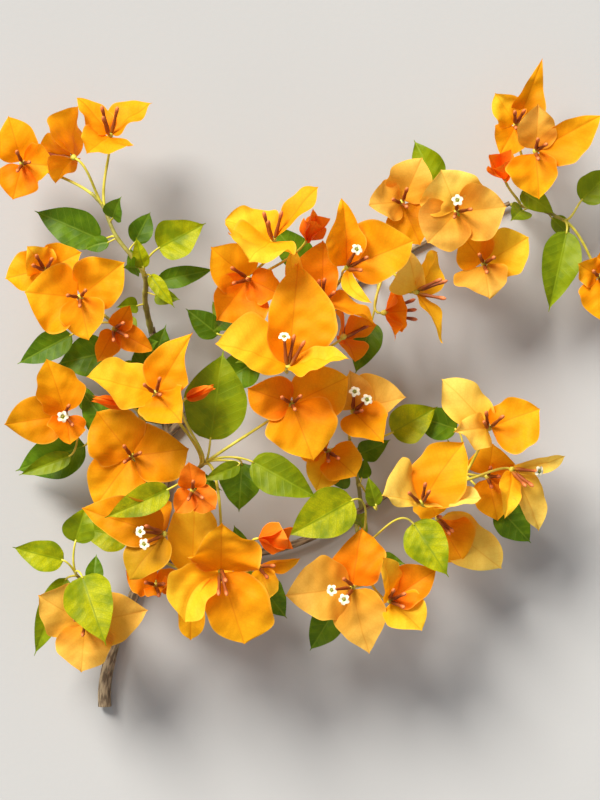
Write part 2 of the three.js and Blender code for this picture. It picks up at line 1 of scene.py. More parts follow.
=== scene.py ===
# A cut flowering branch of bougainvillea that lies on a pale floor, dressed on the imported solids: woody
# limbs with bark, shoots with stalks and leaves, and blooms of three papery bracts round three tubes.

import math

import bpy
import numpy as np
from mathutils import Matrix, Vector


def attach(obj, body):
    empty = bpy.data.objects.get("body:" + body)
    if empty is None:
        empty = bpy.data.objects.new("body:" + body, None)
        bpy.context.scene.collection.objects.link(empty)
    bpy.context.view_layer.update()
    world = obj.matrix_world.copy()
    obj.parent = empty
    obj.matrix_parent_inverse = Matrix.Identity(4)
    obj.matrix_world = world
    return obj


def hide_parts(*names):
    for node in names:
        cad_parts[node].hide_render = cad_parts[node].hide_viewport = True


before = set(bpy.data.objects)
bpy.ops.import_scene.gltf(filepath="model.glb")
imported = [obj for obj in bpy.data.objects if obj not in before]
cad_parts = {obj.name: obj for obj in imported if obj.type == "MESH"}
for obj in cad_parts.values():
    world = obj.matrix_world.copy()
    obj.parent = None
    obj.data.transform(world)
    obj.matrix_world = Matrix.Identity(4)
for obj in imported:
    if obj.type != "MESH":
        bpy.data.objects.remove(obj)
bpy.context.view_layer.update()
scene = bpy.context.scene

# Sizes are in millimetres until a mesh is made. The whole is centred by this much, as the solids are.
CENTRE = np.array([9.035, 9.0, 0.0])
METRE = 1000.0
# Texture sizes are kept in units of this many millimetres.
TEXTURE_UNIT = 100.0
UP = np.array([0.0, 0.0, 1.0])
SEED = 11


def unit(vector):
    return vector / np.linalg.norm(vector)


def add_object(name, data):
    added = bpy.data.objects.new(name, data)
    scene.collection.objects.link(added)
    return added


def bract(x, y, z, width, roll=0, finish=None, **form):
    return np.array([x, y, z], float), width, roll, finish, form


def flat(*values, **form):
    """A bract that isn't twisted along its length."""
    return bract(*values, twist=0, **form)


def bloom(at, opens, stars, bracts, finish="orange", tubes=None):
    tubes = unit(np.array(tubes or opens, float))
    return np.array(at, float), unit(np.array(opens, float)), tubes, stars, bracts, finish


# The blooms, front ones first: the place of the base, the way it opens, its open stars and its bracts.
# A bract's or bloom's finish may paint light or shade: the gold and straw finishes paint light, the deep,
# ochre and olive ones paint shade.
blooms = {
    "centre_1": bloom([-7, 20, 84], [0.1, 0.35, 0.93], 1, [
        flat(-43, 14, 8, 37, 16, "gold", lopsided=0.26, widest=0.46, full=(1.1, 2.8)),
        flat(6, 62, -4, 41, 0, lopsided=0.24, arch=0.06, widest=0.4, full=(2.4, 1.8), curl=-0.02),
        flat(36, 5, 14, 26, -42, "gold", lopsided=0.55, widest=0.58, full=(2, 1.9))],
        tubes=[0.2, 0.85, 0.42]),
    "centre_2": bloom([-5, -2, 68], [0, 0.1, 1], 0, [
        bract(34, 16, -2, 34, 10, "orange", full=(2.4, 3.2)),
        flat(13, -34, 8, 43, widest=0.34, full=(2.4, 2.3)),
        bract(-26, 9, 10, 27, -10, "deep", full=(4, 2.4))]),
    "centre_3": bloom([-16, 95, 80], [0, 0.75, 0.65], 0, [
        flat(-29, 13, -8, 35, 0, "gold", widest=0.28, full=(4, 4), curl=0),
        flat(-14, -12, 26, 42, 0, "gold", full=(2.4, 3)),
        bract(25, 33, 6, 15, -12, sway=0.12, widest=0.7, full=(3, 2), twist=-40)]),
    "centre_4": bloom([28, 79, 78], [0.35, 0.2, 0.92], 1, [
        bract(-3, 41, 8, 27, 0, lopsided=-0.38, fold=0.75, widest=0.42, full=(1.0, 1.2)),
        flat(40, 16, 4, 38, lopsided=-0.18, full=(2.0, 3.2)),
        flat(14, -21, 20, 9, 30, "gold", sway=0.3, full=(3, 2.5))]),
    "centre_5": bloom([13, 59, 64], [0.1, 0.4, 0.9], 0, [
        bract(1, 37, 2, 27, 0, "deep", lopsided=-0.3, full=(2.6, 2.6)),
        flat(-17, 33, 6, 14, 0, "gold", sway=-0.5, widest=0.4, full=(3, 3)),
        bract(32, -12, 4, 24, -36, full=(2.4, 1.8))]),
    "centre_6": bloom([-31, 73, 62], [-0.3, 0.1, 0.95], 0, [
        bract(-22, 18, 12, 31, full=(2.6, 2.6), fold=0.4),
        bract(-19, -25, 8, 35, -22, "deep", lopsided=-0.25, fold=0.4, full=(2.4, 2.6)),
        bract(20, -10, 8, 22, 0, "deep", full=(3, 3))]),
    "centre_7": bloom([26, 38, 57], [0.5, 0.5, -0.6], 0, [
        bract(20, 8, -12, 24), bract(-4, 16, -20, 22), bract(8, -14, -18, 20)], "deep"),
    "centre_8": bloom([70, 65, 62], [0.85, 0.1, 0.5], 0, [
        bract(14, 25, -16, 22, 0, "gold", full=(4, 2)),
        flat(-6, 26, 12, 24, -40, "straw", lopsided=-0.5, full=(1.2, 2)),
        flat(16, -31, 8, 18, 0, "gold", full=(1.4, 1.6))]),
    "centre_9": bloom([51, 53, 46], [0.95, 0.1, 0], 0, [
        bract(8, 19, -3, 25), bract(15, 1, 15, 25), bract(7, -17, -3, 22)], "deep"),
    "left_1": bloom([-86, 4, 84], [0, 0.2, 0.95], 0, [
        flat(-41, 10, 4, 32, 10, "gold", widest=0.42, full=(1.1, 3.2)),
        flat(22, 36, 6, 29, full=(1.6, 0.6)), flat(16, -17, 20, 30, full=(1.3, 4))]),
    "left_2": bloom([-101, -34, 66], [0, 0.1, 1], 0, [
        flat(-21, 27, 4, 37, 0, "ochre", full=(2.6, 3)), flat(34, 5, 6, 36, 0, "ochre", full=(1.4, 6)),
        flat(-22, -30, 4, 36, full=(2.6, 2.6))]),
    "left_3": bloom([-64, -54, 82], [0.1, 0, 1], 0, [
        bract(-2, 17, 6, 17, full=(2.2, 2.6)), bract(-10, -13, 6, 15, full=(3, 3)),
        bract(14, -11, 6, 17, full=(3, 4))], "young"),
    "lower_1": bloom([-47, -102, 88], [0, 0.15, 1], 0, [
        flat(1, 30, 22, 43, lopsided=0.1, full=(1.5, 2.6), fold=0.3),
        flat(-21, -29, 10, 27, 0, "gold", lopsided=0.12, fold=0.4, sway=0.38, widest=0.55, full=(6, 6)),
        flat(14, -43, 2, 38, lopsided=-0.08, full=(12, 3.4), ragged=0.05)], tubes=[0.15, -0.6, 0.8]),
    "lower_2": bloom([-65, -105, 64], [0, 0, 1], 0, [
        flat(2, 46, 4, 29, 0, "gold", full=(5, 4.5)), flat(-1, -40, -2, 16, full=(7, 7)),
        bract(26, 4, 2, 20)]),
    "lower_3": bloom([-81, -80, 78], [-0.4, 0, 0.9], 2, [
        flat(-50, 15, -2, 30, 0, "ochre", lopsided=0.2, full=(1.6, 1.8)),
        bract(-21, -27, 4, 29, 0, "olive", full=(2.2, 2.8)), bract(-4, 20, -20, 20, 0, "ochre")]),
    "lower_4": bloom([-88, -113, 36], [0, 0, 1], 0, [
        bract(-18, 9, 4, 20), bract(3, -6, 12, 16), bract(18, 6, 2, 16)], "deep"),
    "lower_5": bloom([-25, -100, 66], [0.2, 0, 1], 0, [
        bract(25, 5, 2, 12, 48), bract(7, -19, 2, 15, 0, "gold", full=(6, 6)),
        bract(-16, 8, -8, 14, 0, "deep")]),
    "corner_1": bloom([-130, -135, 52], [0, 0, 1], 0, [
        bract(-28, 17, 6, 34), bract(-2, -29, 8, 34), bract(38, 8, 4, 32)], "pale"),
    "inner_1": bloom([32, -7, 52], [0.1, 0.3, 0.95], 2, [
        bract(32, 9, 4, 28, lopsided=-0.3, full=(2.2, 1.5)), bract(-2, 25, 10, 24),
        bract(18, -18, 22, 29, 0, "orange", full=(2, 3))], "pale"),
    "inner_2": bloom([17, -31, 46], [0.1, 0, 1], 0, [
        bract(17, -15, 8, 26, full=(4, 3)), bract(-7, -24, 4, 24, 0, "gold"), bract(-22, 10, 4, 22)]),
    "south_1": bloom([32, -113, 58], [-0.35, 0, 0.93], 2, [
        flat(-41, -5, 2, 39, full=(1.8, 1.8)), flat(9, -40, 4, 32, lopsided=-0.1, full=(1.9, 1.6)),
        bract(5, 36, 2, 32, 0, "deep", lopsided=0.2, full=(1.6, 3))], "pale"),
    "south_2": bloom([54, -121, 62], [0.2, 0.1, 0.95], 0, [
        bract(-4, 27, 18, 22, 35, "gold"), bract(28, 19, 2, 24, -15, "deep", full=(3, 2)),
        bract(19, -17, 10, 27, 0, "gold", full=(3.5, 1.5))]),
    "east_1": bloom([73, -62, 64], [-0.1, 0.4, 0.9], 0, [
        flat(-24, 5, 18, 28, 0, "straw", lopsided=0.6, widest=0.56, full=(1.2, 1.2)),
        flat(25, 37, 2, 37, lopsided=0.08, full=(2.7, 2.2)),
        flat(35, 4, 12, 14, -15, "straw", widest=0.66, fold=0.15, full=(5, 5))]),
    "east_2": bloom([114, -17, 58], [0.1, 0.3, 0.95], 0, [
        flat(-28, 30, 2, 27, 0, "straw", lopsided=-0.15, full=(3, 4)),
        bract(30, 12, 6, 34, lopsided=0.3, full=(3, 4)),
        bract(-22, -2, 20, 22, 0, "straw", lopsided=-0.3, full=(3, 3))]),
    "east_3": bloom([128, -42, 54], [0.5, -0.2, 0.75], 1, [
        flat(31, 7, 12, 10, 0, "straw", widest=0.6, full=(4, 4)),
        bract(-5, -29, 16, 14, 20, "gold", full=(2.4, 2.4)),
        bract(18, -37, -2, 22, 0, "straw", full=(2.4, 2.4))]),
    "east_4": bloom([115, -47, 26], [0, 0, 1], 0, [
        bract(3, 20, 6, 29), bract(6, -27, 4, 24), bract(22, 2, 4, 20)]),
    "east_5": bloom([84, -72, 36], [0.2, -0.2, 0.95], 0, [
        bract(15, -26, 6, 34, lopsided=0.08, full=(3, 3)), bract(39, -31, 0, 28, 0, "straw", full=(5, 2.5)),
        bract(-12, 22, 2, 22, 0, "gold")]),
    "north_1": bloom([62, 120, 44], [0, 0.1, 1], 0, [
        bract(12, 27, 4, 28), bract(-20, -2, 14, 26), bract(11, -26, 4, 28, 0, "ochre")], "pale"),
    "north_2": bloom([95, 114, 50], [0.1, 0, 1], 1, [
        bract(-10, 25, 8, 38, 0, "straw", full=(2.6, 2.6)),
        bract(30, 3, 4, 35, lopsided=0.1, full=(2.4, 2.6)), bract(-18, -19, 8, 34, full=(4, 4))], "pale"),
    "north_3": bloom([112, 83, 40], [0, 0, 1], 0, [
        bract(27, 16, 4, 30, 0, "gold", full=(2.5, 3.2)),
        bract(3, -22, 8, 33, lopsided=0.2, full=(2.2, 2.2)), bract(-14, 18, 4, 26, 0, "orange")], "pale"),
    "west_1": bloom([-133, 62, 58], [0, 0, 1], 0, [
        bract(-33, 3, 4, 43, lopsided=-0.12), bract(27, 21, 4, 33), bract(6, -26, 8, 28)]),
    "west_2": bloom([-155, 79, 42], [0, 0.2, 1], 0, [
        bract(-24, -5, 4, 26), bract(-10, 14, 12, 22, 0, "gold"), bract(22, 11, 2, 24)]),
    "west_3": bloom([-113, 43, 42], [0.2, -0.1, 1], 0, [
        bract(10, 14, 8, 14), bract(24, -13, 4, 16), bract(-10, -20, 6, 15)], "deep"),
    "west_4": bloom([-143, -9, 40], [0.3, 0, 0.95], 1, [
        bract(-37, -6, 2, 30, 0, "ochre"), bract(-11, 34, 6, 31), bract(4, -18, 12, 24, 0, "deep")]),
    "crown_1": bloom([-115, 160, 52], [0, 0.7, 0.7], 0, [
        bract(25, 21, -4, 23, lopsided=-0.25, full=(2.6, 1.3)), bract(-20, 24, -4, 19, full=(2, 2)),
        flat(-13, -12, 18, 33, 0, "orange", lopsided=-0.3, full=(2.4, 2.4))]),
    "crown_2": bloom([-137, 147, 50], [-0.5, 0.3, -0.4], 0, [
        bract(2, 32, -10, 31, lopsided=0.3, full=(2.4, 2.4)), bract(-21, 4, -13, 31, full=(2.6, 3)),
        bract(-12, -15, -6, 25, full=(3, 3))]),
    "crown_3": bloom([-169, 144, 42], [0, 0, 1], 0, [
        bract(-8, 28, 6, 26), bract(20, -2, 6, 24), bract(-5, -22, 8, 26, 0, "deep")]),
    "far_1": bloom([143, 151, 46], [0, 0, 1], 0, [
        bract(1, 28, 8, 24, 0, "pale"), bract(40, 22, 2, 25, lopsided=0.4),
        bract(2, -29, 4, 31, lopsided=0.25)]),
    "far_2": bloom([132, 168, 32], [0.1, 0.1, 1], 0, [
        bract(16, 40, 6, 20, 0, "ochre", lopsided=0.3, widest=0.3, full=(1, 1)),
        bract(-13, 19, 6, 22, 0, "gold"), bract(-10, -18, 4, 22)]),
    "far_3": bloom([183, 75, 34], [0, 0, 1], 0, [
        bract(-14, 8, 8, 18), bract(20, 14, 4, 26), bract(2, -28, 6, 26)]),
}

# Young blooms are still half closed: the place of the base, their reach and width, and how far they open.
young_blooms = {
    "bud_centre": ([4, 96, 64], [8, 14, 12], 13, 0.45),
    "bud_left_1": ([-68, 1, 80], [17, 7, 5], 9, 0.08),
    "bud_left_2": ([-103, -3, 77], [-21, 4, 5], 9, 0.08),
    "bud_lower": ([-25, -83, 72], [20, 0, 6], 16, 0.4),
    "bud_far": ([125, 135, 34], [-3, 13, 13], 14, 0.5),
}


def leaf(along, base, tip, width, tone="mid", **form):
    base = np.array(base, float)
    return along, base, np.array(tip, float) - base, width, f"leaf_{tone}", form


# The woody limbs: first and last radius, and points that lie near the floor.
limbs = {
    "main_stem": ((4.2, 2.2), [[-121, -190, 4.2], [-121, -178, 4.2], [-115, -150, 4], [-98, -108, 4],
                               [-84, -55, 4], [-84, 0, 4], [-92, 45, 6]]),
    "right_bough": ((3, 1.6), [[-94, -98, 4], [-50, -98, 5], [0, -88, 5], [48, -62, 3], [84, -42, 1.8],
                               [100, -34, 3]]),
    "upper_bough": ((3, 1.5), [[-84, -24, 4], [-48, 12, 5], [-6, 44, 4.5], [42, 78, 3], [90, 104, 2],
                               [130, 122, 4]]),
}

# The shoots: the stem, the blooms with the share along the stem where each stalk leaves, and the leaves.
shoots = {
    "crown_shoot": (
        (1.9, 1), [[-92, 42, 6], [-95, 60, 24], [-95, 77, 42], [-112, 100, 44], [-120, 118, 42],
                   [-127, 126, 42]],
        {"crown_1": 0.85, "crown_2": 0.9, "crown_3": 0.96},
        [leaf(0.42, [-95, 80, 50], [-99, 98, 58], 10, "young"),
         leaf(0.42, [-91, 76, 48], [-76, 56, 52], 9, "young"),
         leaf(0.45, [-86, 92, 48], [-57, 107, 54], 25, "young"),
         leaf(0.7, [-122, 98, 34], [-163, 116, 30], 24, "back"),
         leaf(0.35, [-87, 72, 36], [-52, 80, 36], 13, "back")]),
    "west_shoot": (
        (1.6, 1), [[-86, 18, 4], [-94, 24, 20], [-106, 40, 28], [-120, 52, 34]],
        {"west_1": 0.95, "west_2": 0.97, "west_3": 0.7},
        [leaf(0.5, [-116, 30, 22], [-150, 22, 18], 26, "back"),
         leaf(0.8, [-140, 40, 26], [-174, 22, 22], 18, "back")]),
    "low_west_shoot": (
        (1.5, 1), [[-84, -14, 4], [-100, -12, 14], [-122, -14, 22], [-136, -12, 28]],
        {"west_4": 0.97},
        [leaf(0.7, [-132, -28, 22], [-176, -44, 16], 28, "back"),
         leaf(0.9, [-140, -34, 32], [-172, -46, 32], 12),
         leaf(0.2, [-94, 10, 28], [-82, 46, 32], 26, "back")]),
    "centre_west_shoot": (
        (1.4, 0.9), [[-30, 26, 4.5], [-40, 44, 24], [-44, 62, 40], [-38, 68, 50]],
        {"centre_6": 0.97, "centre_3": 0.8, "bud_centre": 0.86},
        [leaf(0.3, [-50, 40, 26], [-70, 56, 28], 16, "back")]),
    "centre_shoot": (
        (1.6, 1), [[-6, 44, 4.5], [-12, 34, 24], [-12, 24, 44], [-9, 18, 58]],
        {"centre_1": 0.97, "centre_7": 0.6},
        [leaf(0.4, [-26, 24, 30], [-56, 6, 34], 22, "back")]),
    "centre_north_shoot": (
        (1.5, 1), [[20, 62, 4], [16, 60, 20], [18, 64, 34], [24, 72, 46]],
        {"centre_4": 0.97, "centre_5": 0.9},
        [leaf(0.4, [6, 80, 28], [-18, 108, 30], 20, "back")]),
    "centre_east_shoot": (
        (1.4, 0.9), [[44, 79, 3.2], [46, 80, 20], [52, 80, 34], [58, 76, 46]],
        {"centre_8": 0.97, "centre_9": 0.6},
        [leaf(0.4, [44, 48, 22], [34, 16, 26], 20, "back")]),
    "north_shoot": (
        (1.3, 0.9), [[84, 101, 2.2], [86, 106, 14], [88, 108, 24], [90, 110, 32]],
        {"north_1": 0.8, "north_2": 0.97, "north_3": 0.7},
        [leaf(0.6, [84, 132, 22], [70, 160, 22], 20)]),
    "far_shoot": (
        (1.4, 0.9), [[131, 121, 4], [140, 119, 14], [150, 116, 22], [162, 110, 28]],
        {"far_1": 0.4, "far_2": 0.25, "far_3": 0.97, "bud_far": 0.1},
        [leaf(0.97, [163, 103, 34], [152, 54, 36], 24),
         leaf(0.3, [136, 128, 26], [156, 114, 30], 14),
         leaf(0.97, [172, 122, 30], [192, 142, 28], 20)]),
    "heart_shoot": (
        (1.8, 1), [[-84, -42, 4], [-76, -46, 28], [-66, -44, 50], [-56, -37, 64]],
        {"left_1": 0.85, "bud_left_1": 0.9, "left_3": 0.8, "lower_1": 0.93, "centre_2": 0.98},
        [leaf(0.95, [-54, -24, 62], [-46, 30, 70], 38, widest=0.46),
         leaf(0.97, [-29, -37, 66], [11, -59, 70], 24),
         leaf(0.97, [-36, -39, 72], [-58, -48, 78], 10),
         leaf(0.95, [-35, -38, 54], [-37, -68, 52], 25, "back"),
         leaf(0.75, [-78, -53, 86], [-116, -70, 91], 18, "young")]),
    "left_shoot": (
        (1.5, 1), [[-84, -36, 4], [-94, -38, 22], [-100, -38, 38], [-102, -37, 48]],
        {"left_2": 0.97, "bud_left_2": 0.7},
        [leaf(0.5, [-112, -22, 34], [-134, 6, 30], 22, "back")]),
    "lower_shoot": (
        (1.6, 1), [[-92, -88, 4], [-90, -92, 18], [-88, -96, 32], [-84, -98, 44]],
        {"lower_2": 0.9, "lower_3": 0.97, "lower_4": 0.5},
        [leaf(0.4, [-104, -84, 30], [-136, -78, 28], 22, "young")]),
    "lower_east_shoot": (
        (1.4, 0.9), [[-40, -97, 5], [-36, -98, 20], [-32, -98, 36], [-28, -92, 50]],
        {"lower_5": 0.9, "bud_lower": 0.97},
        [leaf(0.4, [-26, -110, 28], [-8, -134, 28], 20, "back")]),
    "corner_shoot": (
        (1.5, 1), [[-112, -142, 4], [-120, -130, 16], [-130, -114, 32], [-136, -106, 46]],
        {"corner_1": 0.5},
        [leaf(0.95, [-131, -106, 66], [-116, -146, 82], 30, "young"),
         leaf(0.95, [-143, -97, 52], [-174, -89, 54], 19, "young"),
         leaf(0.95, [-142, -108, 46], [-162, -156, 42], 18),
         leaf(0.95, [-136, -86, 52], [-129, -64, 56], 20)]),
    "south_shoot": (
        (1.5, 1), [[34, -70, 4], [36, -84, 18], [40, -98, 30], [42, -108, 38]],
        {"south_1": 0.95, "south_2": 0.97},
        [leaf(0.35, [32, -60, 62], [-8, -82, 66], 30, "young"),
         leaf(0.4, [68, -74, 66], [89, -106, 74], 26, "young"),
         leaf(0.6, [22, -128, 26], [6, -154, 24], 20, "back")]),
    "inner_shoot": (
        (1.4, 0.9), [[38, -68, 3.6], [36, -52, 16], [32, -34, 28], [30, -22, 36]],
        {"inner_1": 0.97, "inner_2": 0.8},
        [leaf(0.3, [46, -64, 58], [41, -46, 64], 10),
         leaf(0.7, [56, -20, 34], [84, -4, 36], 24, "young")]),
    "east_shoot": (
        (1.5, 1), [[94, -37, 2.6], [98, -40, 16], [98, -44, 26], [98, -48, 34]],
        {"east_1": 0.9, "east_2": 0.93, "east_3": 0.97, "east_4": 0.7, "east_5": 0.75},
        [leaf(0.5, [96, -18, 30], [66, -8, 30], 20, "back"),
         leaf(0.5, [122, -66, 26], [142, -88, 24], 22, "back")]),
}

STEM_SAMPLES = 40
NEAR = 0.01
STALK_BEND = 0.35


def turned(vector, axis, degrees):
    """A vector turned about an axis."""
    angle = math.radians(degrees)
    sideways = np.cross(axis, vector) * math.sin(angle)
    return vector * math.cos(angle) + sideways + axis * axis.dot(vector) * (1 - math.cos(angle))


def smooth_step(value, low, high):
    share = np.clip((value - low) / (high - low), 0, 1)
    return share * share * (3 - 2 * share)


class Ripple:
    """A smooth seeded pattern of waves over two numbers, about as high as 1."""

    def __init__(self, random, low, high, count):
        angle = random.uniform(0, 2 * math.pi, count)
        pace = random.uniform(low, high, count) * 2 * math.pi
        self.across = pace * np.cos(angle)
        self.along = pace * np.sin(angle)
        self.start = random.uniform(0, 2 * math.pi, count)
        self.height = math.sqrt(2 / count)

    def __call__(self, u, v):
        waves = np.cos(np.multiply.outer(u, self.along) + np.multiply.outer(v, self.across) + self.start)
        return waves.sum(axis=-1) * self.height


class Line:
    """A curve in space that is read by the share of its length."""

    def __init__(self, points):
        self.points = np.asarray(points, float)
        steps = np.linalg.norm(np.diff(self.points, axis=0), axis=1)
        self.reached = np.concatenate([[0], np.cumsum(steps)])
        self.length = self.reached[-1]

    def at(self, share):
        distance = np.asarray(share) * self.length
        return np.stack([np.interp(distance, self.reached, self.points[:, i]) for i in range(3)], axis=-1)

    def direction(self, share):
        return unit(self.at(min(share + NEAR, 1)) - self.at(max(share - NEAR, 0)))


def between(t, first, last, low, high):
    return (high - t) / (high - low) * first + (t - low) / (high - low) * last


def bent_line(points):
    """The centripetal curve through all points, as the solids' limbs follow it."""
    points = [np.array(point, float) for point in points]
    whole = [2 * points[0] - points[1], *points, 2 * points[-1] - points[-2]]
    found = []
    for a, b, c, d in zip(whole, whole[1:], whole[2:], whole[3:]):
        knots = [0]
        for start, end in ((a, b), (b, c), (c, d)):
            knots.append(knots[-1] + math.sqrt(np.linalg.norm(end - start)))
        t0, t1, t2, t3 = knots
        t = np.linspace(t1, t2, STEM_SAMPLES, endpoint=False)[:, None]
        a1, a2, a3 = between(t, a, b, t0, t1), between(t, b, c, t1, t2), between(t, c, d, t2, t3)
        b1, b2 = between(t, a1, a2, t0, t2), between(t, a2, a3, t1, t3)
        found.append(between(t, b1, b2, t1, t2))
    found.append(points[-1][None, :])
    return Line(np.concatenate(found))


def stalk_line(stem, along, place, direction, samples=40):
    """The line of a stalk that leaves a stem along it and enters a place along a direction."""
    start = stem.at(along)
    bend = np.linalg.norm(place - start) * STALK_BEND
    leaving = start + stem.direction(along) * bend
    entering = place - direction * bend
    t = np.linspace(0, 1, samples)[:, None]
    s = 1 - t
    return Line(s**3 * start + 3 * s**2 * t * leaving + 3 * s * t**2 * entering + t**3 * place)


class Shape:
    """Collects grids of faces for one piece. Each corner knows its place in millimetres and as shares."""

    def __init__(self):
        self.points, self.faces, self.sizes, self.shares = [], [], [], []
        self.finishes, self.names = [], []
        self.count = 0

    def add_grid(self, points, sizes, shares, finish, closed=False):
        rows, columns = points.shape[:2]
        index = np.arange(rows * columns).reshape(rows, columns) + self.count
        self.points.append(points.reshape(-1, 3))
        self.count += rows * columns
        if closed:
            index = np.concatenate([index, index[:, :1]], axis=1)
        self.faces.append(corners_of(index).reshape(-1, 4))
        self.sizes.append(corners_of(sizes).reshape(-1, 2))
        self.shares.append(corners_of(shares).reshape(-1, 2))
        if finish not in self.names:
            self.names.append(finish)
        self.finishes.append(np.full(len(self.faces[-1]), self.names.index(finish)))

    def make(self, name, slot, node):
        points = (np.concatenate(self.points) - CENTRE) / METRE
        mesh = bpy.data.meshes.new(name)
        mesh.from_pydata(points.tolist(), [], np.concatenate(self.faces).tolist())
        for layer, values in (("blade", self.sizes), ("share", self.shares)):
            corners = mesh.uv_layers.new(name=layer).data
            corners.foreach_set("uv", np.concatenate(values).astype(np.float32).ravel())
        for finish in self.names:
            mesh.materials.append(finishes[finish])
        mesh.polygons.foreach_set("material_index", np.concatenate(self.finishes).astype(np.int32))
        mesh.polygons.foreach_set("use_smooth", np.ones(len(mesh.polygons), bool))
        mesh.update()
        piece = add_object(name, mesh)
        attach(piece, "root")
        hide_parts(node)


def pairs(rows, columns):
    """All pairs of the values of rows and columns, as a grid."""
    return np.stack(np.meshgrid(rows, columns, indexing="ij"), axis=-1)


def corners_of(values):
    """The four corners of each face of a grid, in turn."""
    return np.stack([values[:-1, :-1], values[1:, :-1], values[1:, 1:], values[:-1, 1:]], axis=2)


# A tube has a ring every so many millimetres. Its ends narrow to this share, and a cut end has these rings.
RING_GAP = 2
FEWEST_RINGS = 6
TUBE_TIP = 0.02
CUT_RINGS = [0.02, 0.2, 0.4, 0.6, 0.8, 0.95, 1]


def add_tube(shape, line, radius, sides, finish, rows=None, ribs=None, cut=None):
    """A round body along a line. Radius is a function of the share along it, and ribs of share and angle.
    Cut names the finish of a flat first end; without it the first end is closed like the last."""
    rows = rows or max(FEWEST_RINGS, int(line.length / RING_GAP))
    shares = np.linspace(0, 1, rows)
    middles = line.at(shares)
    normal = unit(np.cross(line.direction(0), UP + [0.3, 0.1, 0]))
    angles = np.linspace(0, 2 * math.pi, sides, endpoint=False)
    rings = []
    for share, middle in zip(shares, middles):
        forward = line.direction(share)
        normal = unit(normal - forward * normal.dot(forward))
        side = np.cross(forward, normal)
        size = radius(share) * (ribs(share, angles) if ribs else np.ones(sides))
        circle = np.outer(np.cos(angles), normal) + np.outer(np.sin(angles), side)
        rings.append(middle + circle * size[:, None])
    rings = np.array(rings)
    around = np.linspace(0, 1, sides + 1)
    if cut:
        out = np.array(CUT_RINGS)
        face = middles[0] + (rings[0] - middles[0]) * out[:, None, None]
        spans = pairs(out, around)
        shape.add_grid(face[:, ::-1], spans * radius(0) / TEXTURE_UNIT, spans, cut, closed=True)
    else:
        rings = np.concatenate([[middles[0] + (rings[0] - middles[0]) * TUBE_TIP], rings])
        shares = np.concatenate([[0], shares])
    rings = np.concatenate([rings, [middles[-1] + (rings[-1] - middles[-1]) * TUBE_TIP]])
    shares = np.concatenate([shares, [1]])
    spans = pairs(shares, around)
    girth = 2 * math.pi * radius(0.5)
    shape.add_grid(rings[:, ::-1], spans * [line.length, girth] / TEXTURE_UNIT, spans, finish, closed=True)


# The forms of the blades. Vein gap, crinkle, quilt and groove are in millimetres, twist is in degrees, and
# the others are shares of the blade's length or width.
BRACT_FORM = {"grid": (40, 25), "arch": 0.1, "fold": 0.26, "fold_power": 1.3, "curl": -0.03, "lopsided": 0,
              "sway": 0, "ragged": 0.035, "wave": 0.085, "crinkle": 0.42, "vein_slope": 0.9, "vein_gap": 7,
              "quilt": 0.1, "groove": 0.2, "twist": 0, "widest": 0.36, "body_end": 0.985, "base_fill": 0.8,
              "full": (2.1, 2.1), "point": 0.22}
LEAF_FORM = dict(BRACT_FORM, grid=(34, 19), fold=0.3, curl=-0.04, ragged=0.02, wave=0.035, crinkle=0.16,
                 vein_slope=0.7, vein_gap=5.5, quilt=0.16, groove=0.35, widest=0.34, body_end=0.94,
                 base_fill=1, full=(1.75, 1.75), point=0.45)
BLADE_EDGE = 0.15
GROOVE_WIDTH = 0.9
STILL_POINT = 0.3
# The waves of a blade: the fewest and most in its length, and how many patterns lie over one another.
MARGIN_WAVES = (1.5, 3.5, 4)
SIDE_WAVES = (0.8, 2.2, 5)
CRINKLES = (1.2, 3.4, 8)
CRINKLE_SIZE = 30


def outline(share, form, full):
    """Half the width of a blade along it, as a share of the widest: round at its base, with a small point.
    Full tells how far a side keeps its width towards the tip: below 1 the side is hollow."""
    widest, end = form["widest"], form["body_end"]
    base = np.sqrt(np.clip(1 - (1 - share / widest) ** 2, 0, 1)) ** form["base_fill"]
    towards = np.clip((share - widest) / (end - widest), 0, 1)
    tapered = (1 - towards ** max(full, 1)) ** (1 / min(full, 1))
    point = form["point"] * (1 - share) * smooth_step(towards, 0.3, 0.9)
    return np.where(share < widest, base, np.hypot(tapered, point))


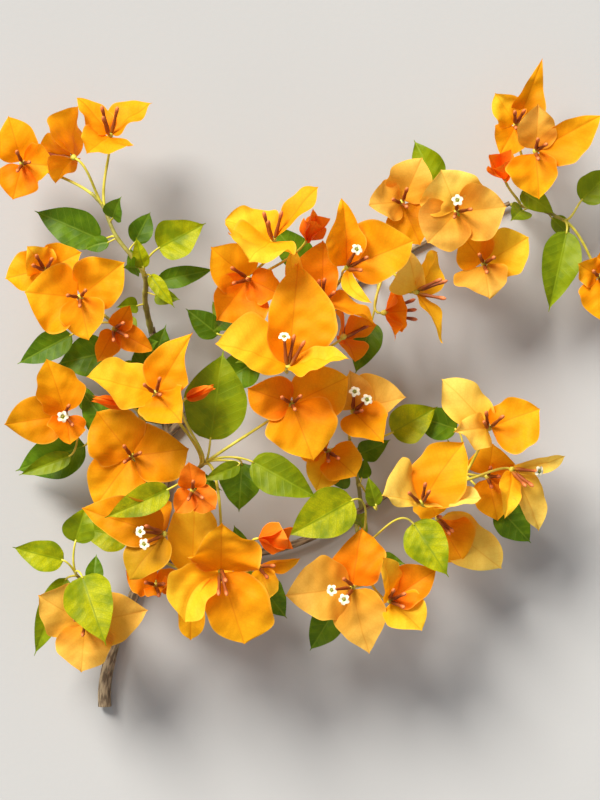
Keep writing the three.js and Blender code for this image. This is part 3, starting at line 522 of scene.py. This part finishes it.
def blade_points(base, reach, width, roll, facing, random, form):
    """The grid of a single sheet whose sides lift towards its inner side, with waves and veins."""
    length = np.linalg.norm(reach)
    along = reach / length
    inner = turned(unit(facing - along * facing.dot(along)), along, roll)
    across = np.cross(along, inner)
    rows, columns = form["grid"]
    share = np.linspace(0, 1, rows)[:, None]
    v = np.linspace(-1, 1, columns)[None, :]
    bow = base + along * length / 2 + inner * length * form["arch"] + across * length * form["sway"]
    rib = (1 - share) ** 2 * base + 2 * share * (1 - share) * bow + share**2 * (base + reach)
    low, high = (width / 2 * outline(share, form, full) + BLADE_EDGE for full in form["full"])
    half = np.where(v < 0, low, high)
    lopsided = 1 + form["lopsided"] * np.sign(v)
    margin = Ripple(random, *MARGIN_WAVES)(share, 0 * share)
    offset = half * lopsided * (1 + form["ragged"] * margin * np.sign(v)) * v
    lift = form["fold"] * half * np.abs(v) ** form["fold_power"] + form["curl"] * length * share**3
    wave = Ripple(random, *SIDE_WAVES)(share + 0 * v, np.sign(v) * 0.4 + 0 * share)
    lift = lift + form["wave"] * width * wave * v**2 * np.sqrt(np.sin(math.pi * share))
    crinkle = Ripple(random, *CRINKLES)(share * length / CRINKLE_SIZE + 0 * v, offset / CRINKLE_SIZE)
    lift = lift + form["crinkle"] * crinkle * smooth_step(share, 0, 0.25)
    veins = np.cos(2 * math.pi * (share * length - form["vein_slope"] * np.abs(offset)) / form["vein_gap"])
    lift = lift + form["quilt"] * veins * smooth_step(np.abs(v), 0.05, 0.3) * (1 - v**4)
    lift = lift - form["groove"] * np.exp(-((offset / GROOVE_WIDTH) ** 2))
    twist = math.radians(form["twist"]) * (share - STILL_POINT)
    out = across * (offset * np.cos(twist))[..., None] + inner * (offset * np.sin(twist))[..., None]
    return rib[:, None, :] + out + inner * lift[..., None], share * length, offset


def add_blade(shape, base, reach, width, roll, facing, finish, random, form):
    points, along, offset = blade_points(base, reach, width, roll, facing, random, form)
    rows, columns = offset.shape
    sizes = np.stack([along + 0 * offset, TEXTURE_UNIT / 2 + offset], axis=-1) / TEXTURE_UNIT
    shape.add_grid(points, sizes, pairs(np.linspace(0, 1, rows), np.linspace(0, 1, columns)), finish)


# An open flower: its pale limb in rings, as shares of its radius, and how far each ring rises.
STAR_RADIUS = 3.2
STAR_LOBES = 5
STAR_POINTS = 30
STAR_RINGS = np.array([0.16, 0.3, 0.5, 0.75, 1.0])
STAR_RISES = np.array([-0.5, 0.1, 0.5, 0.6, 0.35])
LOBE_LENGTH = 0.16
NOTCH_DEPTH = 0.05
LOBE_DROOP = 0.45
EYE_RADIUS = 0.95
EYE_BELOW = 0.3
EYE_ABOVE = 0.75


def add_star(shape, place, axis, random):
    """An open flower on its tube: a pale limb of five lobes, with a green and yellow eye."""
    side = unit(np.cross(axis, UP + [0.2, 0.1, 0]))
    other = np.cross(axis, side)
    start = random.uniform(0, 2 * math.pi)
    angles = np.linspace(0, 2 * math.pi, STAR_POINTS, endpoint=False)
    out = np.outer(np.cos(angles + start), side) + np.outer(np.sin(angles + start), other)
    lobes = np.cos(STAR_LOBES * angles)
    notches = np.cos(2 * STAR_LOBES * angles)
    rings = []
    for radius, rise in zip(STAR_RINGS, STAR_RISES):
        size = STAR_RADIUS * radius * (1 + radius * (LOBE_LENGTH * lobes - NOTCH_DEPTH * notches))
        height = rise - LOBE_DROOP * radius**2 * lobes
        rings.append(place + out * size[:, None] + np.outer(height, axis))
    around = np.linspace(0, 1, STAR_POINTS + 1)
    spans = pairs(STAR_RINGS, around)
    shape.add_grid(np.array(rings), spans * STAR_RADIUS / TEXTURE_UNIT, spans, "star", closed=True)
    eye = Line([place - axis * EYE_BELOW, place + axis * EYE_ABOVE])
    add_tube(shape, eye, lambda share: EYE_RADIUS * math.sqrt(max(1 - share**2, 0.02)), 10, "eye", rows=6)


# A flower tube, and how thick it is along its length, as shares of its radius.
TUBE_LENGTH = 18.0
TUBE_RADIUS = 1.05
TUBE_BEND = 1.2
TUBE_LEAN = 0.3
TUBE_START = 1.2
TUBE_FOOT = 0.4
TUBE_RIB = 0.1
PROFILE_AT = [0, 0.06, 0.2, 0.4, 0.6, 0.85, 0.95, 1]
CLOSED_PROFILE = [0.5, 0.9, 1.2, 0.95, 0.8, 1.15, 0.95, 0.25]
OPEN_PROFILE = [0.5, 0.9, 1.2, 0.95, 0.8, 0.85, 1.0, 1.25]


def add_flower_tube(shape, foot, direction, axis, opened, random):
    """A slender tube with a swollen foot, bent a little towards the axis of its bloom."""
    t = np.linspace(0, 1, 12)[:, None]
    line = Line(foot + direction * TUBE_LENGTH * t + axis * TUBE_BEND * t**2)
    profile = OPEN_PROFILE if opened else CLOSED_PROFILE
    add_tube(shape, line, lambda share: TUBE_RADIUS * np.interp(share, PROFILE_AT, profile), 10, "tube",
             rows=18, ribs=lambda share, angles: 1 + TUBE_RIB * np.cos(STAR_LOBES * angles))
    if opened:
        add_star(shape, line.at(1), unit(direction + axis), random)


RECEPTACLE_LENGTH = 3.6
RECEPTACLE_RADIUS = 1.9
BRACT_START = 1.3


def add_bloom(shape, base, axis, tubes, stars, bracts, finish, random):
    """A bloom. What the table doesn't tell of a bract's form is left to chance, within narrow limits."""
    half = axis * RECEPTACLE_LENGTH / 2
    add_tube(shape, Line([base - half, base + half]),
             lambda share: RECEPTACLE_RADIUS * (0.5 + 0.5 * math.sin(math.pi * share * 0.8)), 12, "stalk", 8)
    for index, (reach, width, roll, own_finish, told) in enumerate(bracts):
        start = unit(reach) * BRACT_START
        form = dict(BRACT_FORM, twist=random.uniform(-12, 12), curl=random.uniform(-0.07, 0.02),
                    full=random.uniform(1.7, 2.9, 2), lopsided=random.uniform(-0.06, 0.06))
        add_blade(shape, base + start, reach - start, width, roll, axis, own_finish or finish, random,
                  {**form, **told})
        outward = unit(reach - axis * reach.dot(axis))
        direction = unit(tubes + outward * TUBE_LEAN)
        foot = base + axis * RECEPTACLE_LENGTH * TUBE_FOOT + outward * TUBE_START
        add_flower_tube(shape, foot, direction, axis, index < stars, random)


# Bracts of a young bloom hold together: they arch inwards and are folded and smooth.
YOUNG_FORM = dict(BRACT_FORM, grid=(20, 13), arch=-0.12, fold=0.7, crinkle=0.1, quilt=0.05, groove=0.1)
YOUNG_START = 0.4


def add_young_bloom(shape, base, reach, width, opened, random):
    """A bloom that is still half closed: three small bracts folded round their tubes."""
    axis = unit(reach)
    side = unit(np.cross(axis, UP))
    for index in range(3):
        outward = turned(side, axis, 120 * index + 30)
        lean = reach + outward * width * opened
        wide = width * (0.8 + opened)
        add_blade(shape, base + outward * YOUNG_START, lean, wide, 0, -outward, "young", random, YOUNG_FORM)


class Finish:
    """One procedural material, put together node by node."""

    def __init__(self, name):
        self.material = bpy.data.materials.new(name)
        self.material.use_nodes = True
        self.tree = self.material.node_tree
        self.tree.nodes.clear()
        self.shader = self.add("ShaderNodeBsdfPrincipled")
        self.output = self.add("ShaderNodeOutputMaterial", {"Surface": self.shader.outputs[0]})

    def feed(self, socket, value):
        if isinstance(value, bpy.types.NodeSocket):
            self.tree.links.new(value, socket)
        else:
            socket.default_value = value

    def add(self, kind, inputs=None, **settings):
        node = self.tree.nodes.new(kind)
        for key, value in settings.items():
            setattr(node, key, value)
        for key, value in (inputs or {}).items():
            self.feed(node.inputs[key], value)
        return node

    def math(self, operation, *values):
        return self.add("ShaderNodeMath", dict(enumerate(values)), operation=operation).outputs[0]

    def mix(self, share, first, second):
        return self.add("ShaderNodeMixRGB", {"Fac": share, "Color1": first, "Color2": second}).outputs[0]

    def ramp(self, value, low, high, start=0.0, end=1.0):
        inputs = {"Value": value, "From Min": low, "From Max": high, "To Min": start, "To Max": end}
        return self.add("ShaderNodeMapRange", inputs, interpolation_type="SMOOTHSTEP").outputs[0]

    def places(self, layer):
        """The two numbers that a corner keeps in one layer."""
        spread = self.add("ShaderNodeSeparateXYZ", {0: self.add("ShaderNodeUVMap", uv_map=layer).outputs[0]})
        return spread.outputs[0], spread.outputs[1]

    def noise(self, scale, detail=3.0, place=None):
        """Noise over a place, or over the space that the object is in."""
        if place is None:
            place = self.add("ShaderNodeTexCoord").outputs["Object"]
        return self.add("ShaderNodeTexNoise", {"Vector": place, "Scale": scale, "Detail": detail}).outputs[0]

    def plus(self, first, second, share):
        return self.math("ADD", first, self.math("MULTIPLY", second, share))

    def made(self, colour, roughness):
        self.feed(self.shader.inputs["Base Color"], colour)
        self.shader.inputs["Roughness"].default_value = roughness
        return self.material

    def bump(self, height, distance, strength):
        inputs = {"Height": height, "Distance": distance, "Strength": strength}
        normal = self.add("ShaderNodeBump", inputs).outputs[0]
        self.feed(self.shader.inputs["Normal"], normal)
        return normal

    def let_light_through(self, colour, look, normal):
        self.shader.inputs["Specular IOR Level"].default_value = look["shine"]
        glow = self.add("ShaderNodeBsdfTranslucent", {"Color": colour, "Normal": normal})
        inputs = {0: look["through"], 1: self.shader.outputs[0], 2: glow.outputs[0]}
        self.feed(self.output.inputs["Surface"], self.add("ShaderNodeMixShader", inputs).outputs[0])

    def vein_lines(self, form, look):
        """Where a middle vein, side veins that slant forward from it and a web between them show."""
        along, across = self.places("blade")
        middle = self.math("ABSOLUTE", self.math("SUBTRACT", across, 0.5))
        slanted = self.math("SUBTRACT", along, self.math("MULTIPLY", middle, form["vein_slope"]))
        near = self.math("PINGPONG", self.math("DIVIDE", slanted, form["vein_gap"] / TEXTURE_UNIT), 0.5)
        side = self.ramp(near, 0.0, look["width"] / form["vein_gap"], 1.0, 0.0)
        main = self.ramp(middle, 0.0, MAIN_VEIN * look["width"] / TEXTURE_UNIT, 1.0, 0.0)
        blade = self.add("ShaderNodeUVMap", uv_map="blade").outputs[0]
        web_inputs = {"Vector": blade, "Scale": look["web_scale"]}
        web = self.add("ShaderNodeTexVoronoi", web_inputs, feature="DISTANCE_TO_EDGE").outputs[0]
        fine = self.ramp(web, 0.0, look["web_width"], 1.0, 0.0)
        lines = {"main": main, "side": side, "web": fine}
        shown = [self.math("MULTIPLY", line, look[name]) for name, line in lines.items()]
        return self.math("MAXIMUM", self.math("MAXIMUM", shown[0], shown[1]), shown[2])


# How a blade looks: the width of a side vein in millimetres, the scale and width of its web, how strongly
# each kind of vein shows, how much light comes through, and how rough and shiny it is.
MAIN_VEIN = 1.4
BRACT_LOOK = {"width": 0.5, "web_scale": 46.0, "web_width": 0.12, "main": 0.42, "side": 0.2, "web": 0.15,
              "through": 0.38, "roughness": 0.62, "shine": 0.12}
LEAF_LOOK = {"width": 0.55, "web_scale": 70.0, "web_width": 0.14, "main": 0.8, "side": 0.4, "web": 0.14,
             "through": 0.3, "roughness": 0.48, "shine": 0.18}


def rgb(red, green, blue):
    """A colour as a screen shows it, turned into the light that it stands for."""
    light = [((c + 0.055) / 1.055) ** 2.4 if c > 0.04045 else c / 12.92 for c in (red, green, blue)]
    return (*light, 1.0)


BRACT_EDGE = rgb(1.0, 0.8, 0.3)


def bract_finish(name, base, tip, vein, glow):
    finish = Finish(f"bract_{name}")
    look = BRACT_LOOK
    along, sideways = finish.places("share")
    blotch = finish.noise(38.0)
    # Darker towards the base: partly the bract's own tone and partly painted shade where the bracts close
    # round the heart of the bloom.
    towards_tip = finish.ramp(finish.plus(along, blotch, 0.5), 0.2, 1.25)
    lines = finish.vein_lines(BRACT_FORM, look)
    colour = finish.mix(lines, finish.mix(towards_tip, rgb(*base), rgb(*tip)), rgb(*vein))
    aside = finish.math("ABSOLUTE", finish.math("SUBTRACT", sideways, 0.5))
    margin = finish.ramp(aside, 0.46, 0.5, 0.0, 0.4)
    colour = finish.mix(margin, colour, BRACT_EDGE)
    grain = finish.noise(420.0, 2.0)
    height = finish.plus(lines, grain, 0.25)
    normal = finish.bump(height, 0.0003, 0.5)
    finish.let_light_through(finish.mix(0.5, colour, rgb(*glow)), look, normal)
    return finish.made(colour, look["roughness"])


def leaf_finish(name, base, patch, vein, glow, patchy, web=LEAF_LOOK["web"]):
    finish = Finish(name)
    look = dict(LEAF_LOOK, web=web)
    blotch = finish.ramp(finish.noise(90.0), 0.5 - patchy * 0.2, 0.62)
    lines = finish.vein_lines(LEAF_FORM, look)
    colour = finish.mix(lines, finish.mix(blotch, rgb(*base), rgb(*patch)), rgb(*vein))
    height = finish.math("SUBTRACT", finish.math("MULTIPLY", finish.noise(300.0, 2.0), 0.3), lines)
    normal = finish.bump(height, 0.00025, 0.6)
    finish.let_light_through(rgb(*glow), look, normal)
    return finish.made(colour, look["roughness"])


def twig_finish(name, lower, upper):
    finish = Finish(name)
    colour = finish.mix(finish.ramp(finish.noise(160.0), 0.35, 0.65), lower, upper)
    finish.bump(finish.noise(900.0, 2.0), 0.0002, 0.5)
    return finish.made(colour, 0.55)


def tube_finish(name, foot, body, mouth):
    finish = Finish(name)
    along, _ = finish.places("share")
    streak = finish.noise(500.0, 2.0)
    place = finish.plus(along, streak, 0.25)
    colour = finish.mix(finish.ramp(place, 0.1, 0.45), foot, body)
    colour = finish.mix(finish.ramp(place, 0.85, 1.1), colour, mouth)
    finish.bump(streak, 0.0002, 0.5)
    return finish.made(colour, 0.6)


def star_finish(name, inner, outer):
    finish = Finish(name)
    out, _ = finish.places("share")
    grain = finish.noise(700.0, 2.0)
    place = finish.plus(out, grain, 0.2)
    finish.bump(grain, 0.0002, 0.4)
    return finish.made(finish.mix(finish.ramp(place, 0.42, 0.66), inner, outer), 0.6)


def bark_finish(name, furrow, ridge_colour, moss):
    finish = Finish(name)
    along, across = finish.places("blade")
    stretched = finish.add("ShaderNodeCombineXYZ", {0: finish.math("MULTIPLY", along, 0.22), 1: across})
    ridge = finish.noise(60.0, 5.0, stretched.outputs[0])
    patch = finish.noise(55.0, 4.0)
    colour = finish.mix(finish.ramp(ridge, 0.38, 0.62), furrow, ridge_colour)
    colour = finish.mix(finish.ramp(patch, 0.55, 0.75, 0.0, 0.45), colour, moss)
    finish.bump(finish.plus(ridge, patch, 0.4), 0.0006, 0.8)
    return finish.made(colour, 0.85)


def cut_finish(name, dark, light, pith):
    """Pale wood with its pith and rings, where the branch was cut."""
    finish = Finish(name)
    out, _ = finish.places("share")
    grain = finish.noise(600.0, 2.0)
    rings = finish.math("PINGPONG", finish.math("MULTIPLY", finish.math("ADD", out, grain), 4.0), 0.5)
    colour = finish.mix(finish.ramp(rings, 0.1, 0.4), dark, light)
    colour = finish.mix(finish.ramp(out, 0.12, 0.2, 1.0, 0.0), colour, pith)
    finish.bump(rings, 0.0002, 0.5)
    return finish.made(colour, 0.8)


def floor_finish(name, dark, light):
    finish = Finish(name)
    finish.bump(finish.noise(300.0, 2.0), 0.0003, 0.15)
    return finish.made(finish.mix(finish.noise(3.0), dark, light), 0.85)


# The colours of bracts: near the base, near the tip, of the veins and of the light that comes through.
# The darker base colour is partly painted shade in the heart of the bloom; lit and shaded copies of orange
# are marked below.
BRACT_COLOURS = {
    "orange": ((0.98, 0.57, 0.0), (0.98, 0.7, 0.08), (0.82, 0.36, 0.0), (0.98, 0.59, 0.0)),
    # A lighter, yellower copy of orange: painted light on bracts that face the sun.
    "gold": ((0.99, 0.67, 0.03), (0.99, 0.8, 0.18), (0.9, 0.48, 0.0), (1.0, 0.65, 0.0)),
    # A darker, redder copy of orange: painted shade on bracts that face away from the light or lie under
    # others.
    "deep": ((0.98, 0.49, 0.01), (0.98, 0.61, 0.05), (0.8, 0.31, 0.01), (1.0, 0.52, 0.0)),
    "pale": ((0.92, 0.62, 0.14), (0.94, 0.74, 0.32), (0.8, 0.46, 0.08), (1.0, 0.67, 0.1)),
    # A dull olive copy: painted shade on a bract that lies in shadow with light coming through it.
    "olive": ((0.75, 0.52, 0.04), (0.78, 0.6, 0.1), (0.64, 0.38, 0.02), (0.84, 0.6, 0.03)),
    # A duller, darker copy of orange: painted shade on bracts in the shadow of leaves and other bracts.
    "ochre": ((0.87, 0.52, 0.0), (0.89, 0.61, 0.04), (0.74, 0.35, 0.0), (0.92, 0.55, 0.0)),
    # A pale yellow copy: partly the bracts' own paler tone and partly painted light on bracts that lie in
    # shade.
    "straw": ((0.97, 0.74, 0.2), (0.99, 0.85, 0.4), (0.9, 0.56, 0.08), (1.0, 0.78, 0.14)),
    "young": ((0.95, 0.45, 0.02), (0.97, 0.55, 0.12), (0.78, 0.3, 0.01), (1.0, 0.5, 0.0)),
}
# The colours of leaves: ground, patches, veins and the light that comes through. Then how much the patches
# take and, where it isn't as usual, how strongly the web of veins shows.
LEAF_COLOURS = {
    "leaf_mid": ((0.4, 0.48, 0.01), (0.52, 0.58, 0.02), (0.55, 0.62, 0.08), (0.55, 0.62, 0.0), 0.6),
    "leaf_young": ((0.44, 0.52, 0.0), (0.72, 0.72, 0.02), (0.42, 0.51, 0.02), (0.64, 0.67, 0.0), 1.0, 0.4),
    "leaf_back": ((0.27, 0.4, 0.03), (0.37, 0.5, 0.04), (0.46, 0.56, 0.14), (0.4, 0.54, 0.02), 0.4),
}
finishes = {name: bract_finish(name, *colours) for name, colours in BRACT_COLOURS.items()}
finishes.update((name, leaf_finish(name, *values)) for name, values in LEAF_COLOURS.items())
finishes.update({
    "stalk": twig_finish("stalk_green", rgb(0.74, 0.7, 0.16), rgb(0.84, 0.79, 0.28)),
    "stem": twig_finish("stem_olive", rgb(0.5, 0.47, 0.18), rgb(0.62, 0.6, 0.24)),
    "tube": tube_finish("flower_tube", rgb(0.68, 0.46, 0.08), rgb(0.56, 0.27, 0.06), rgb(0.86, 0.47, 0.24)),
    "star": star_finish("flower_star", rgb(0.56, 0.6, 0.22), rgb(0.95, 0.91, 0.78)),
    "eye": star_finish("flower_eye", rgb(0.3, 0.36, 0.08), rgb(0.56, 0.52, 0.12)),
    "bark": bark_finish("bark", rgb(0.36, 0.29, 0.21), rgb(0.62, 0.54, 0.42), rgb(0.52, 0.53, 0.36)),
    "cut": cut_finish("cut_wood", rgb(0.72, 0.6, 0.4), rgb(0.86, 0.78, 0.58), rgb(0.55, 0.42, 0.27)),
})

# Stalks: their radii, how far they taper towards a bloom or leaf, and the swellings at the nodes of a twig.
PEDUNCLE_RADIUS = 0.75
PETIOLE_RADIUS = 0.6
FOOT_FLARE = 1.3
LEAF_SINK = 1.5
STEM_NODE_GAP = 14
STEM_SWELL = 0.22
STALK_NODE_GAP = 60
STALK_SWELL = 0.1
SWELL_WIDTH = 1.6


def taper_of(radii, swell_gap, length, swell):
    """A taper with a low swelling at each node of the twig."""
    def radius(share):
        node = math.exp(-(((share * length / swell_gap) % 1 - 0.5) * swell_gap / SWELL_WIDTH) ** 2)
        return (radii[0] + (radii[1] - radii[0]) * share) * (1 + swell * node)
    return radius


def add_stalk(shape, line, foot, end, sides=10):
    add_tube(shape, line, taper_of((foot, end), STALK_NODE_GAP, line.length, STALK_SWELL), sides, "stalk")


# Low leaves spiral up a stem by this angle, over this share of it, one for each step in millimetres.
LOW_LEAF_TURN = 137.5
LOW_LEAF_FROM = 0.16
LOW_LEAF_OVER = 0.68
LOW_LEAF_SHARE = 0.7
LOW_LEAF_STEP = 10.0
LOW_LEAF_LENGTH = (15.0, 25.0)
LOW_LEAF_WIDTH = (0.55, 0.68)
LOW_LEAF_STALK = (5, 9)
BACK_LEAVES = 0.6
LOWEST = 3.0
DROOP = 0.2
BLOOM_HEART = 10.0


def meets_bloom(points):
    """Whether any of the points is in the heart of a bloom, which low leaves keep clear of."""
    hearts = np.array([at + axis * BLOOM_HEART / 3 for at, axis, *_ in blooms.values()])
    return np.linalg.norm(points[:, None, :] - hearts[None, :, :], axis=-1).min() < BLOOM_HEART


def add_low_leaves(twigs, leaves, stem, random):
    """Small leaves that spiral up the bare part of a stem, each on a short stalk."""
    count = int(stem.length * LOW_LEAF_SHARE / LOW_LEAF_STEP)
    turn = random.uniform(0, 360)
    for index in range(count):
        share = LOW_LEAF_FROM + LOW_LEAF_OVER * (index + 0.5) / count
        start = stem.at(share)
        forward = stem.direction(share)
        side = turned(unit(np.cross(forward, UP + [0.1, 0, 0])), forward, turn + LOW_LEAF_TURN * index)
        out = unit(side + UP * 0.25 + forward * 0.4)
        length = random.uniform(*LOW_LEAF_LENGTH)
        base = start + out * random.uniform(*LOW_LEAF_STALK)
        reach = unit(out + UP * random.uniform(-0.3, 0.15)) * length
        if min(base[2], base[2] + reach[2]) < LOWEST + length * DROOP:
            reach[2] = abs(reach[2]) * 0.5
            base[2] = max(base[2], LOWEST + length * DROOP)
        form = dict(LEAF_FORM, grid=(24, 13), twist=random.uniform(-15, 15), curl=random.uniform(-0.12, 0.0))
        finish = "leaf_back" if random.uniform() < BACK_LEAVES else "leaf_mid"
        if meets_bloom(base + reach * np.linspace(0, 1, 5)[:, None]):
            continue
        line = stalk_line(stem, share, base + unit(reach), unit(reach), 14)
        add_stalk(twigs, line, PETIOLE_RADIUS, PETIOLE_RADIUS * 0.8, 8)
        width = length * random.uniform(*LOW_LEAF_WIDTH)
        add_blade(leaves, base, reach, width, random.uniform(-25, 25), UP, finish, random, form)


for index, (name, each) in enumerate(blooms.items()):
    shape = Shape()
    add_bloom(shape, *each, np.random.default_rng((SEED, index)))
    shape.make(f"bracts_{name}", "bract", f"bloom_{name}")

for index, (name, (radii, points, carries, own_leaves)) in enumerate(shoots.items()):
    random = np.random.default_rng((SEED, len(blooms), index))
    twigs, leaves = Shape(), Shape()
    stem = bent_line(points)
    add_tube(twigs, stem, taper_of(radii, STEM_NODE_GAP, stem.length, STEM_SWELL), 12, "stem")
    for carried, along in carries.items():
        if carried in blooms:
            at, axis, *_ = blooms[carried]
            place = at - axis * RECEPTACLE_LENGTH / 2
        else:
            at, reach, width, opened = young_blooms[carried]
            at, reach = np.array(at, float), np.array(reach, float)
            axis = unit(reach)
            place = at + axis
            add_young_bloom(leaves, at, reach, width, opened, random)
        add_stalk(twigs, stalk_line(stem, along, place, axis), PEDUNCLE_RADIUS * FOOT_FLARE, PEDUNCLE_RADIUS)
    for along, base, reach, width, finish, told in own_leaves:
        line = stalk_line(stem, along, base + unit(reach) * LEAF_SINK, unit(reach))
        add_stalk(twigs, line, PETIOLE_RADIUS * FOOT_FLARE, PETIOLE_RADIUS)
        form = dict(LEAF_FORM, twist=random.uniform(-10, 10), curl=random.uniform(-0.08, 0.0))
        add_blade(leaves, base, reach, width, 0, UP, finish, random, {**form, **told})
    add_low_leaves(twigs, leaves, stem, random)
    twigs.make(f"twigs_{name}", "foliage", name)
    leaves.make(f"leaves_{name}", "foliage", name)

# The bark's relief: how deep its grooves and knots go, as shares of the radius, and how long they are.
GROOVES = (1.0, 3.0, 8)
KNOTS = (2.0, 6.0, 8)
GROOVE_DEPTH = 0.05
KNOT_DEPTH = 0.03
GROOVE_LENGTH = 40
KNOT_LENGTH = 12
BARK_SIDES = 28
BARK_RING_GAP = 1.4

for name, (radii, points) in limbs.items():
    shape = Shape()
    line = bent_line(points)
    grooves = Ripple(random, *GROOVES)
    knots = Ripple(random, *KNOTS)

    def relief(share, angles, line=line, grooves=grooves, knots=knots):
        rough = grooves(share * line.length / GROOVE_LENGTH + 0 * angles, 3 * angles / (2 * math.pi))
        fine = knots(share * line.length / KNOT_LENGTH + 0 * angles, 5 * angles / (2 * math.pi))
        return 1 - GROOVE_DEPTH * (1 + np.tanh(rough)) / 2 - KNOT_DEPTH * (1 + np.tanh(fine)) / 2

    add_tube(shape, line, lambda share, a=radii[0], b=radii[1]: a + (b - a) * share, BARK_SIDES, "bark",
             int(line.length / BARK_RING_GAP), relief, "cut" if name == "main_stem" else None)
    shape.make(f"bark_{name}", "bark", name)

# The floor, the light and the camera, in metres.
FLOOR_SIZE = 8.0
PICTURE_WIDE = 0.48
BLOOM_PLANE = 0.07
CAMERA_DISTANCE = 2.0
LIGHT_FROM = Vector((-0.45, 0.65, 0.62))
SUN_STRENGTH = 6.4
SUN_ANGLE = 28
SUN_COLOUR = (1.0, 0.97, 0.92)
SKY_COLOUR = (0.86, 0.9, 0.96, 1.0)
SKY_STRENGTH = 0.5

bpy.ops.mesh.primitive_grid_add(x_subdivisions=4, y_subdivisions=4, size=FLOOR_SIZE)
floor = bpy.context.object
floor.name = "floor"
floor.data.materials.append(floor_finish("floor", rgb(0.67, 0.665, 0.655), rgb(0.7, 0.695, 0.685)))

sun = bpy.data.lights.new("sun", "SUN")
sun.energy = SUN_STRENGTH
sun.angle = math.radians(SUN_ANGLE)
sun.color = SUN_COLOUR
add_object("sun", sun).rotation_euler = LIGHT_FROM.to_track_quat("Z", "Y").to_euler()

world = bpy.data.worlds.new("sky")
world.use_nodes = True
sky = world.node_tree.nodes["Background"].inputs
sky["Color"].default_value = SKY_COLOUR
sky["Strength"].default_value = SKY_STRENGTH
scene.world = world
scene.view_settings.view_transform = "Standard"

camera = bpy.data.cameras.new("camera")
camera.sensor_fit = "VERTICAL"
camera.angle = 2 * math.atan(PICTURE_WIDE / 2 / CAMERA_DISTANCE)
camera.clip_start = 0.05
camera_object = add_object("camera", camera)
camera_object.location = (-CENTRE[0] / METRE, -CENTRE[1] / METRE, BLOOM_PLANE + CAMERA_DISTANCE)
scene.camera = camera_object
